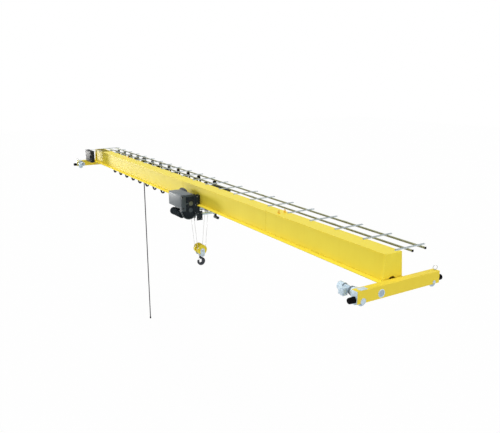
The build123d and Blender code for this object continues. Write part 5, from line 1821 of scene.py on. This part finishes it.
@dataclass
class HoistTrolley:
    """Hub caps, collars, bolts, guard plate and cable bundle of the hoist trolley."""

    middle: float = 1.240
    spread: float = 0.415
    plate: float = 0.396
    outside: float = 0.416
    axle_z: float = 0.351
    tube_z: float = -0.100
    hood_x: float = 0.870
    hood_y: float = -0.434
    hood_foot: float = 0.362
    hood_bend: float = 0.600
    hood: Point = (0.340, 0.016, 0.130)
    hood_steps: int = 16
    bundle_x: Pair = (1.614, 2.740)
    bundle_lines: tuple[Pair, ...] = ((0.374, 0.861), (0.409, 0.858), (0.391, 0.824))
    bundle_radius: float = 0.021
    straps: int = 6
    strap_start: float = 0.020
    strap_pitch: float = 0.200
    strap_width: float = 0.022
    strap_y: Pair = (0.304, 0.433)
    strap_z: Pair = (0.800, 0.885)

    def build(self, shop: Workshop) -> None:
        """Make the trolley's pieces.

        Args:
            shop: The workshop.
        """
        shop.piece("trolley_hub_caps", self._caps(), HOIST_DARK, "trolley")
        shop.piece("trolley_bolts", self._bolts(), BOLT_ZINC, "trolley")
        shop.piece("tube_collars", self._collars(), PALE_BLUE, "trolley")
        shop.piece("wheel_hood", self._hood(), HOIST_DARK, "trolley")
        shop.piece("tow_bundle", self._bundle(), CABLE_RUBBER, "trolley")

    def _wheels(self) -> list[Pair]:
        """Return X and side of each wheel."""
        return [(self.middle + end * self.spread, side) for end in NEAR_AND_FAR for side in FRONT_AND_BACK]

    def _capped(self) -> list[Pair]:
        """Return X and side of the wheels that have a cap, which are all but the driven one."""
        return [(x, side) for x, side in self._wheels() if side < 0 or x < self.middle]

    def _caps(self) -> Shape:
        """Return the bearing caps outside the wheel plates.

        Returns:
            The shape.
        """
        shape = Shape()
        cap = [(0.0, 0.016), (0.030, 0.016), (0.036, 0.010), (0.048, 0.008), (0.050, 0.0), (0.0, 0.0)]
        for x, side in self._capped():
            shape.lathe(cap, (x, side * self.outside, self.axle_z), Y * side, sides=28)
        return shape

    def _bolts(self) -> Shape:
        """Return the bolts round the caps and at the tube ends.

        Returns:
            The shape.
        """
        shape = Shape()
        for x, side in self._capped():
            place = (x, side * (self.outside + 0.008), self.axle_z)
            shape.bolt_ring(place, Y * side, 0.043, 4, 0.010, start=0.8)
            place = (x, side * self.outside, self.tube_z)
            shape.bolt_ring(place, Y * side, 0.040, 4, 0.016, start=0.8)
        return shape

    def _hood(self) -> Shape:
        """Return the rounded guard plate that stands over the far front wheel.

        Returns:
            The shape.
        """
        reach, thick, height = self.hood
        x, y = self.hood_x, self.hood_y
        outline = [(x - reach, y, self.hood_foot), (x + reach, y, self.hood_foot)]
        for step in range(self.hood_steps + 1):
            angle = math.pi * step / self.hood_steps
            outline.append((x + reach * math.cos(angle), y, self.hood_bend + height * math.sin(angle)))
        return Shape().prism(outline, Y * thick)

    def _bundle(self) -> Shape:
        """Return the cables along the tow bar, with their end sleeves and straps.

        Returns:
            The shape.
        """
        shape = Shape()
        start, stop = self.bundle_x
        sleeve = [(0.0, 0.0), (0.0225, 0.0), (0.0225, 0.030), (0.016, 0.048), (0.0, 0.048)]
        for y, z in self.bundle_lines:
            shape.rod((start, y, z), X, self.bundle_radius, stop - start, sides=16)
            shape.lathe(sleeve, (stop, y, z), X, sides=16)
        (front, back), (low, high) = self.strap_y, self.strap_z
        for index in range(self.straps):
            x = start + self.strap_start + self.strap_pitch * index
            shape.block((x, front, low), (x + self.strap_width, back, high), edge=0.004)
        return shape

    def _collars(self) -> Shape:
        """Return the flanged collars where the tubes meet the plates.

        Returns:
            The shape.
        """
        shape = Shape()
        collar = [(0.046, 0.0), (0.066, 0.0), (0.066, 0.010), (0.052, 0.014), (0.052, 0.030), (0.046, 0.032)]
        for x, side in self._wheels():
            place = (x, side * self.plate, self.tube_z)
            shape.lathe(collar, place, Y * -side, sides=28, closed=True)
        return shape


@dataclass
class RopeHoist:
    """Cut case, border with painted highlight, panels, ribs, painted shadow marks, bolts and rope turns of the hoist.
    """

    far: float = 0.690
    near: float = 1.730
    face: float = 1.764
    front: float = -0.920
    back: float = -0.440
    foot: float = 0.180
    top: float = 0.655
    case: Point = (-0.640, 0.090, 0.298)
    upper: Pair = (-0.575, 0.350)
    lower: Pair = (-0.590, 0.122)
    drum: Point = (-0.520, 0.040, 0.165)
    drum_span: Pair = (0.975, 1.505)
    openings: tuple[tuple[Pair, Pair], ...] = (
        ((-0.452, -0.362), (-0.300, 0.030)), ((-0.250, -0.120), (0.045, 0.252)),
    )
    seat_radius: float = 0.035
    seat_limit: float = 1.700
    seat_room: float = 0.002
    seat_gap: float = 0.0005
    slats: tuple[float, ...] = (0.30, 0.36, 0.42, 0.48, 0.54)
    slots: tuple[float, ...] = (0.325, 0.385, 0.445, 0.505)
    sockets: tuple[Pair, ...] = ((-0.893, 0.600), (-0.865, 0.205))
    case_ribs: tuple[int, int, int] = (200, 345, 24)
    case_bolts: tuple[int, int, int] = (190, 360, 17)
    post_bolts: Pair = (0.34, 0.57)
    post_y: float = -0.354
    plate_bolts_y: Pair = (-0.32, -0.19)
    plate_bolts_z: Pair = (-0.22, -0.03)
    motor: Pair = (-0.840, -0.045)
    motor_end: float = 0.850
    motor_slots: tuple[float, ...] = (0.022, 0.040, 0.058, 0.076, 0.094)
    rope: float = 0.006

    def build(self, shop: Workshop) -> None:
        """Make the hoist's pieces.

        Args:
            shop: The workshop.
        """
        frame = shop.piece("hoist_case", self._cut_case(shop), HOIST_DARK, "trolley")
        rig.replaces(frame, "hoist_frame")
        shop.piece("cover_panels", self._panels(), COVER_GREY, "trolley")
        shop.piece("case_border", self._border(), RIB_GREY, "trolley")
        shop.piece("case_shadow_marks", self._marks(), SHADOW_GAP, "trolley")
        shop.piece("cover_gaps", self._gaps(), SHADOW_GAP, "trolley")
        shop.piece("hoist_ribs", self._ribs(), HOIST_DARK, "trolley")
        shop.piece("hoist_boss_faces", self._boss_faces(), BOSS_OLIVE, "trolley")
        shop.piece("hoist_bolts", self._bolts(), BOLT_ZINC, "trolley")
        shop.piece("motor_grille", self._grille(), SHADOW_GAP, "trolley")
        shop.piece("drum_rope_turns", self._turns(), ROPE_STEEL, "rope_drum")

    def _bars(self, shape: Shape, bars: Iterable[tuple[Pair, Pair, Pair, float]]) -> None:
        """Add bars on the near end.

        Args:
            shape: The shape that takes them.
            bars: Span from the face, span in Y, span in Z and rounding of each.
        """
        for reach, (front, back), (low, high), edge in bars:
            start, stop = (self.face + step for step in reach)
            shape.block((start, front, low), (stop, back, high), edge=edge)

    def _panels(self) -> Shape:
        """Return the raised lid, the top plate and the vent slats of the grey housing.

        Returns:
            The shape.
        """
        shape = Shape()
        low = (self.far + 0.025, self.front - 0.004, self.foot + 0.030)
        shape.block(low, (self.near - 0.025, self.front + 0.002, self.top - 0.030), edge=0.003)
        low = (self.far + 0.02, self.front + 0.02, self.top - 0.002)
        shape.block(low, (self.near - 0.01, self.back - 0.02, self.top + 0.006), edge=0.003)
        for z in self.slats:
            shape.block((self.far - 0.004, -0.84, z), (self.far + 0.002, -0.52, z + 0.022), edge=0.002)
        return shape

    def _gaps(self) -> Shape:
        """Return the dark slots of the vents.

        Returns:
            The shape.
        """
        shape = Shape()
        for z in self.slots:
            shape.block((self.far - 0.0015, -0.83, z), (self.far + 0.001, -0.53, z + 0.008))
        return shape

    def _cut_case(self, shop: Workshop) -> Shape:
        """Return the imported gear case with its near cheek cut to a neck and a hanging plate.

        Args:
            shop: The workshop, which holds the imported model.

        Returns:
            The cut shape.
        """
        case, tool = Shape(), Shape()
        case.bm.from_mesh(shop.frame["nodes"]["hoist_frame"].data)
        bmesh.ops.remove_doubles(case.bm, verts=case.bm.verts, dist=MERGE_GAP)
        for (front, back), (low, high) in self.openings:
            tool.block((self.face - 0.001, front, low), (self.face + 0.040, back, high))
        forms = []
        for name, shape in (("case_form", case), ("case_tool", tool)):
            item = bpy.data.objects.new(name, shape.mesh(name))
            bpy.context.scene.collection.objects.link(item)
            forms.append(item)
        cut = forms[0].modifiers.new("cut", "BOOLEAN")
        cut.object = forms[1]
        cut.operation = "DIFFERENCE"
        cut.solver = "EXACT"
        result = Shape()
        depsgraph = bpy.context.evaluated_depsgraph_get()
        mesh = bpy.data.meshes.new_from_object(forms[0].evaluated_get(depsgraph))
        result.bm.from_mesh(mesh)
        bpy.data.meshes.remove(mesh)
        for item in forms:
            bpy.data.meshes.remove(item.data)
        self._widen_seats(result)
        return result

    def _widen_seats(self, shape: Shape) -> None:
        """Widen the drum's bearing seats, so that the turning journals stay clear of their facets.

        Args:
            shape: The shape to change.
        """
        y, z, _ = self.drum
        for vert in shape.bm.verts:
            reach = Vector((0.0, vert.co.y - y, vert.co.z - z))
            if vert.co.x < self.seat_limit and abs(reach.length - self.seat_radius) < self.seat_gap:
                vert.co += reach.normalized() * self.seat_room

    def _border(self) -> Shape:
        """Return the column, head rail and rim round the near end of the case, in a lighter grey that is painted
        highlight where these edges catch the light.

        Returns:
            The shape.
        """
        shape = Shape()
        head = self.top + 0.004
        self._bars(shape, (
            ((-0.004, 0.030), (self.front - 0.004, self.front + 0.150), (0.10, head), 0.006),
            ((-0.004, 0.028), (self.front + 0.140, -0.47), (self.top - 0.062, head), 0.006),
        ))
        y, z, radius = self.case
        rim = [
            (radius - 0.036, 0.0), (radius - 0.036, 0.016), (radius - 0.030, 0.020),
            (radius - 0.004, 0.020), (radius, 0.014), (radius, 0.0),
        ]
        shape.lathe(rim, (self.face - 0.002, y, z), X, sides=64, closed=True)
        y, z = self.lower
        return shape.rod((self.face + 0.014, y, z), X, 0.084, 0.006, sides=40, edge=0.002)

    def _marks(self) -> Shape:
        """Return the dark square seat of the upper boss and the two dark sockets in the column, dark as painted shade
        of these recesses.

        Returns:
            The shape.
        """
        shape = Shape()
        y, z = self.upper
        self._bars(shape, [((-0.002, 0.008), (y - 0.125, y + 0.110), (z - 0.130, z + 0.130), 0.002)])
        self._bars(shape, [
            ((0.026, 0.034), (y - 0.024, y + 0.024), (z - 0.026, z + 0.026), 0.002) for y, z in self.sockets
        ])
        return shape

    def _ribs(self) -> Shape:
        """Return the ribs, the channel post and the rings on the near end of the hoist.

        Returns:
            The shape.
        """
        shape = Shape()
        post = (-0.010, self.top - 0.006)
        self._bars(shape, (
            ((-0.004, 0.022), (-0.490, -0.462), (0.120, self.top - 0.05), 0.006),
            ((0.022, 0.044), (-0.404, -0.304), post, 0.004),
            ((0.044, 0.056), (-0.404, -0.392), post, 0.002),
            ((0.044, 0.056), (-0.316, -0.304), post, 0.002),
            ((-0.004, 0.016), (-0.706, -0.694), (0.160, self.top - 0.06), 0.002),
            ((-0.004, 0.016), (-0.760, -0.460), (0.234, 0.246), 0.002),
            ((-0.004, 0.016), (-0.760, -0.460), (0.464, 0.476), 0.002),
        ))
        y, z, radius = self.case
        centre = Vector((self.face - 0.002, y, z))
        inner, outer = radius * 0.62, radius - 0.015
        for angle in range(*self.case_ribs):
            turn = math.radians(angle)
            out = Vector((0.0, math.cos(turn), math.sin(turn)))
            half = Vector((0.0, -math.sin(turn), math.cos(turn))) * 0.006
            steps = (out * inner - half, out * outer - half, out * outer + half, out * inner + half)
            shape.prism([tuple(centre + step) for step in steps], X * 0.014)
        ring = [(0.080, 0.0), (0.080, 0.010), (0.084, 0.016), (0.092, 0.016), (0.096, 0.010), (0.096, 0.0)]
        for y, z in (self.upper, self.lower):
            shape.lathe(ring, (self.face + 0.013, y, z), X, sides=48, closed=True)
            shape.bolt_ring((self.face + 0.029, y, z), X, 0.088, 6, 0.010, start=0.3)
        return shape

    def _boss_faces(self) -> Shape:
        """Return the olive cover inside the upper boss."""
        y, z = self.upper
        return Shape().rod((self.face + 0.010, y, z), X, 0.082, 0.010, sides=40, edge=0.002)

    def _bolts(self) -> Shape:
        """Return the bolts of gear case, lid, post and hanging plate.

        Returns:
            The shape.
        """
        shape = Shape()
        y, z, radius = self.case
        reach = radius - 0.010
        for angle in range(*self.case_bolts):
            turn = math.radians(angle)
            place = (self.face + 0.018, y + reach * math.cos(turn), z + reach * math.sin(turn))
            shape.bolt(place, X, 0.013)
        for x in (self.far + 0.045, self.near - 0.045):
            for z in (self.foot + 0.05, self.top - 0.05):
                shape.bolt((x, self.front - 0.004, z), Y * -1.0, 0.012)
        for z in self.post_bolts:
            shape.bolt((self.face + 0.044, self.post_y, z), X, 0.018)
        for z in self.plate_bolts_z:
            for y in self.plate_bolts_y:
                shape.bolt((self.face + 0.026, y, z), X, 0.016)
        return shape

    def _grille(self) -> Shape:
        """Return the dark ring slots in the motor's fan cowl.

        Returns:
            The shape.
        """
        shape = Shape()
        for radius in self.motor_slots:
            shape.band((self.motor_end, *self.motor), X * -1.0, radius, 0.008, 0.0008, 40)
        return shape

    def _turns(self) -> Shape:
        """Return the rope wound on the drum.

        Returns:
            The shape.
        """
        y, z, radius = self.drum
        start, end = self.drum_span
        pitch = 2.15 * self.rope
        turns, reach = (end - start) / pitch, radius + self.rope * 0.6
        return Shape().coil((start, y, z), X, reach, self.rope, pitch, turns, sides=6, steps=36)


@dataclass
class RopeFalls:
    """The four stranded falls, the turns round the sheaves and the bend over the equalizer."""

    middle: float = 1.240
    half_gauge: float = 0.125
    shift: float = 0.090
    drum_y: float = -0.3485
    drum_z: float = 0.040
    low_y: float = 0.1505
    block_z: float = -1.500
    equalizer_y: float = 0.285
    equalizer_z: float = -0.080
    rope: float = 0.006
    lay: float = 0.078
    strands: int = 6

    def build(self, shop: Workshop) -> None:
        """Make the falls, which stretch between trolley and block, and the turns round the sheaves.

        Args:
            shop: The workshop.
        """
        front, back, wraps = Shape(), Shape(), Shape()
        for side in NEAR_AND_FAR:
            x = self.middle + side * self.half_gauge
            self._fall(front, (x + self.shift, self.drum_y, self.drum_z), (x, -self.low_y, self.block_z))
            self._fall(back, (x, self.equalizer_y, self.equalizer_z), (x, self.low_y, self.block_z))
            wraps.ring((x, 0.0, self.block_z), X, self.low_y, self.rope, turn=math.pi)
        for name, shape, node, height in (
            ("rope_strands_front", front, "rope_falls_front", self.drum_z),
            ("rope_strands_back", back, "rope_falls_back", self.equalizer_z),
        ):
            item = shop.loose_piece(name, shape, ROPE_STEEL)
            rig.replaces(item, node)
            start, end = (self.middle, 0.0, height), (self.middle, 0.0, self.block_z)
            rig.blend(item, "trolley", "hook_block", start=start, end=end)
        shop.piece("block_rope_bends", wraps, ROPE_STEEL, "hook_block")
        top = (self.middle, self.equalizer_y, self.equalizer_z)
        over = Shape().ring(top, Y, self.half_gauge, self.rope, turn=math.pi)
        shop.piece("equalizer_rope_bend", over, ROPE_STEEL, "trolley")

    def _fall(self, shape: Shape, top: Point, low: Point) -> None:
        """Add one stranded rope between two points.

        Args:
            shape: The shape that takes it.
            top: Its upper end.
            low: Its lower end.
        """
        line = Vector(low) - Vector(top)
        along, turns = line.normalized(), line.length / self.lay
        for index in range(self.strands):
            strand = Shape()
            foot, radius, thickness = (0.0, 0.0, 0.0), self.rope * 0.64, self.rope * 0.36
            strand.coil(foot, Z, radius, thickness, self.lay, turns, sides=5, steps=8)
            form = strand.mesh("strand_form")
            turn = Matrix.Rotation(math.tau * index / self.strands, 4, "Z")
            shape.stamp(form, stand(top, along) @ turn)
            bpy.data.meshes.remove(form)
        shape.rod(top, along, self.rope * 0.45, line.length, sides=6)


@dataclass
class HookBlock:
    """Keepers, bolts, guard bands and hook bearing of the hook block."""

    middle: float = 1.240
    pin_z: float = -1.500
    trunnion_z: float = -1.716
    face: float = 0.202
    guard: float = 0.180
    pin_radius: float = 0.034
    trunnion_radius: float = 0.036
    keeper_half: float = 0.045
    keeper_z: Pair = (-0.060, -0.036)
    keeper_thick: float = 0.006
    keeper_bolts: Pair = (-0.033, 0.033)
    guard_bolts: tuple[int, ...] = (35, 145, 205, 335)
    guard_bolt_radius: float = 0.145
    guard_middle: float = 0.125
    guard_half: float = 0.060
    spacers: tuple[int, ...] = (250, 290)
    spacer_radius: float = 0.150
    spacer_half: float = 0.066
    bearing_drop: float = 0.050

    def build(self, shop: Workshop) -> None:
        """Make the block's pieces.

        Args:
            shop: The workshop.
        """
        shop.piece("block_keepers", self._keepers(), PIN_STEEL, "hook_block")
        shop.piece("block_bolts", self._bolts(), BOLT_ZINC, "hook_block")
        shop.piece("guard_bands", self._bands(), BLOCK_YELLOW, "hook_block")
        shop.piece("hook_bearing", self._bearing(), PIN_STEEL, "hook")

    def _round_pin(self, x: float, radius: float, angle: float) -> Point:
        """Return the point at an angle in degrees on a circle round the block pin."""
        turn = math.radians(angle)
        return (x, radius * math.cos(turn), self.pin_z + radius * math.sin(turn))

    def _keepers(self) -> Shape:
        """Return the keeper plates and pin ends outside the side plates.

        Returns:
            The shape.
        """
        shape = Shape()
        low, high = self.keeper_z
        for end in NEAR_AND_FAR:
            face = self.middle + end * self.face
            for z, radius in ((self.pin_z, self.pin_radius), (self.trunnion_z, self.trunnion_radius)):
                shape.rod((face, 0.0, z), X * end, radius, 0.010, sides=28, edge=0.003)
            stop = (face + end * self.keeper_thick, self.keeper_half, self.pin_z + high)
            shape.block((face, -self.keeper_half, self.pin_z + low), stop, edge=0.001)
        return shape

    def _bolts(self) -> Shape:
        """Return the bolts of keepers and guards.

        Returns:
            The shape.
        """
        shape = Shape()
        for end in NEAR_AND_FAR:
            face = self.middle + end * self.face
            for y in self.keeper_bolts:
                shape.bolt((face + end * self.keeper_thick, y, self.pin_z - 0.048), X * end, 0.013)
            outer = self.middle + end * (self.face - 0.014)
            for angle in self.guard_bolts:
                shape.bolt(self._round_pin(outer, self.guard_bolt_radius, angle), X * end, 0.014)
        return shape

    def _bands(self) -> Shape:
        """Return the rolled bands round the guards and the spacer bars between them.

        Returns:
            The shape.
        """
        shape = Shape()
        for end in NEAR_AND_FAR:
            x = self.middle + end * self.guard_middle
            for side in FRONT_AND_BACK:
                place = (x + side * self.guard_half, 0.0, self.pin_z)
                shape.ring(place, X, self.guard - 0.003, 0.004)
        for angle in self.spacers:
            place = self._round_pin(self.middle - self.spacer_half, self.spacer_radius, angle)
            shape.rod(place, X, 0.012, 2 * self.spacer_half, sides=16)
        return shape

    def _bearing(self) -> Shape:
        """Return the ring of the thrust bearing round the hook's shank.

        Returns:
            The shape.
        """
        ring = [(0.029, 0.0), (0.056, 0.0), (0.056, 0.004), (0.052, 0.006), (0.029, 0.006)]
        place = (self.middle, 0.0, self.trunnion_z - self.bearing_drop)
        return Shape().lathe(ring, place, Z, sides=28, closed=True)


# Studio


@dataclass
class Studio:
    """The pale floor, the soft light and the camera."""

    eye: Point = (18.524, -8.463, 4.484)
    yaw: float = 31.5036
    pitch: float = 14.0153
    lens: float = 39.553
    sensor: float = 36.0
    sight: float = 500.0
    floor_z: float = -7.44
    floor_half: float = 120.0
    floor_thick: float = 0.1
    floor_grey: float = 0.66
    floor_rough: float = 0.9
    floor_glow: float = 0.98
    sky: tuple[float, ...] = (0.94, 0.97, 1.0, 1.0)
    sky_strength: float = 0.33
    sun_colour: Point = (1.0, 0.985, 0.95)
    suns: tuple[tuple[str, float, float, Point], ...] = (
        ("top_sun", 1.8, 25.0, (0.02, 0.12, -1.0)),
        ("front_sun", 2.75, 14.0, (0.90, 0.38, 0.01)),
        ("end_sun", 1.2, 40.0, (-1.0, 0.05, -0.10)),
    )

    def build(self) -> None:
        """Make the stage."""
        self._camera()
        self._floor()
        self._world()
        self._lamps()
        bpy.context.scene.view_settings.view_transform = "Standard"

    def _camera(self) -> None:
        """Put the camera where the photograph was taken from."""
        data = bpy.data.cameras.new("camera")
        data.sensor_width = self.sensor
        data.lens = self.lens
        data.clip_end = self.sight
        camera = bpy.data.objects.new("camera", data)
        yaw, pitch = math.radians(self.yaw), math.radians(self.pitch)
        flat = math.cos(pitch)
        forward = Vector((-math.cos(yaw) * flat, math.sin(yaw) * flat, -math.sin(pitch)))
        camera.location = self.eye
        camera.rotation_euler = forward.to_track_quat("-Z", "Y").to_euler()
        bpy.context.scene.collection.objects.link(camera)
        bpy.context.scene.camera = camera

    def _seen(self, tree: Tree) -> bpy.types.NodeSocket:
        """Return a socket that is one for straight, mirrored and passed sight, and zero for other light.

        Args:
            tree: The tree that takes the nodes.

        Returns:
            The socket.
        """
        path = tree.add("LightPath")
        seen = tree.sums("MAXIMUM", path.outputs["Is Camera Ray"], path.outputs["Is Glossy Ray"])
        return tree.sums("MAXIMUM", seen, path.outputs["Is Transmission Ray"])

    def _floor(self) -> None:
        """Make the floor, white to the camera and still shaded by the crane."""
        reach = self.floor_half
        low, high = (-reach, -reach, self.floor_z - self.floor_thick), (reach, reach, self.floor_z)
        floor = bpy.data.objects.new("studio_floor", Shape().block(low, high).mesh("studio_floor"))
        bpy.context.scene.collection.objects.link(floor)
        material = bpy.data.materials.new("studio_white")
        material.use_nodes = True
        tree = Tree(material.node_tree)
        shader = material.node_tree.nodes["Principled BSDF"]
        shader.inputs["Base Color"].default_value = (self.floor_grey, self.floor_grey, self.floor_grey, 1.0)
        shader.inputs["Roughness"].default_value = self.floor_rough
        glow = tree.add("Emission", {"Color": WHITE, "Strength": 1.0})
        share = tree.sums("MULTIPLY", self._seen(tree), self.floor_glow)
        mix = tree.add("MixShader", {0: share, 1: shader.outputs[0], 2: glow.outputs[0]})
        tree.link(mix.outputs[0], material.node_tree.nodes["Material Output"].inputs[0])
        floor.data.materials.append(material)
        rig.stage(floor)

    def _world(self) -> None:
        """Light the scene evenly, with a white background for the camera and for reflections."""
        world = bpy.data.worlds.new("studio_world")
        bpy.context.scene.world = world
        world.use_nodes = True
        tree = Tree(world.node_tree)
        soft = world.node_tree.nodes["Background"]
        soft.inputs["Color"].default_value = self.sky
        soft.inputs["Strength"].default_value = self.sky_strength
        white = tree.add("Background", {"Color": WHITE, "Strength": 1.0})
        mix = tree.add("MixShader", {0: self._seen(tree), 1: soft.outputs[0], 2: white.outputs[0]})
        tree.link(mix.outputs[0], world.node_tree.nodes["World Output"].inputs[0])

    def _lamps(self) -> None:
        """Add the soft suns: one overhead, one low along the front, one on the near end."""
        for name, energy, spread, heading in self.suns:
            lamp = bpy.data.lights.new(name, "SUN")
            lamp.energy = energy
            lamp.angle = math.radians(spread)
            lamp.color = self.sun_colour
            item = bpy.data.objects.new(name, lamp)
            item.rotation_euler = Vector(heading).normalized().to_track_quat("-Z", "Y").to_euler()
            bpy.context.scene.collection.objects.link(item)


def corners(pair: Sequence[Vector]) -> list[list[float]]:
    """Return two corners as plain lists of numbers."""
    return [list(point) for point in pair]


def main() -> None:
    """Dress the crane, one sub-assembly after the other."""
    logging.basicConfig(level=logging.INFO, format="%(name)s: %(message)s")
    bpy.ops.wm.read_factory_settings(use_empty=True)
    shop = Workshop()
    frame_box = corners(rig.bounds())
    shop.dress_nodes()
    Studio().build()
    trolleys = CableTrolleys()
    assemblies = (
        SupplyCables(trolleys), BoxGirder(), EndCarriages(), TravelDrives(), CableRails(), trolleys,
        ControlCabinet(), HoistTrolley(), RopeHoist(), RopeFalls(), HookBlock(),
    )
    for assembly in assemblies:
        assembly.build(shop)
    for item in shop.made:
        LOG.info("%s: %s", item.name, len(item.data.polygons) if item.type == "MESH" else "curve")
    with open("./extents.json", "w", encoding="utf-8") as target:
        json.dump({"frame": frame_box, "visual": corners(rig.bounds())}, target)


if __name__ == "__main__":
    main()
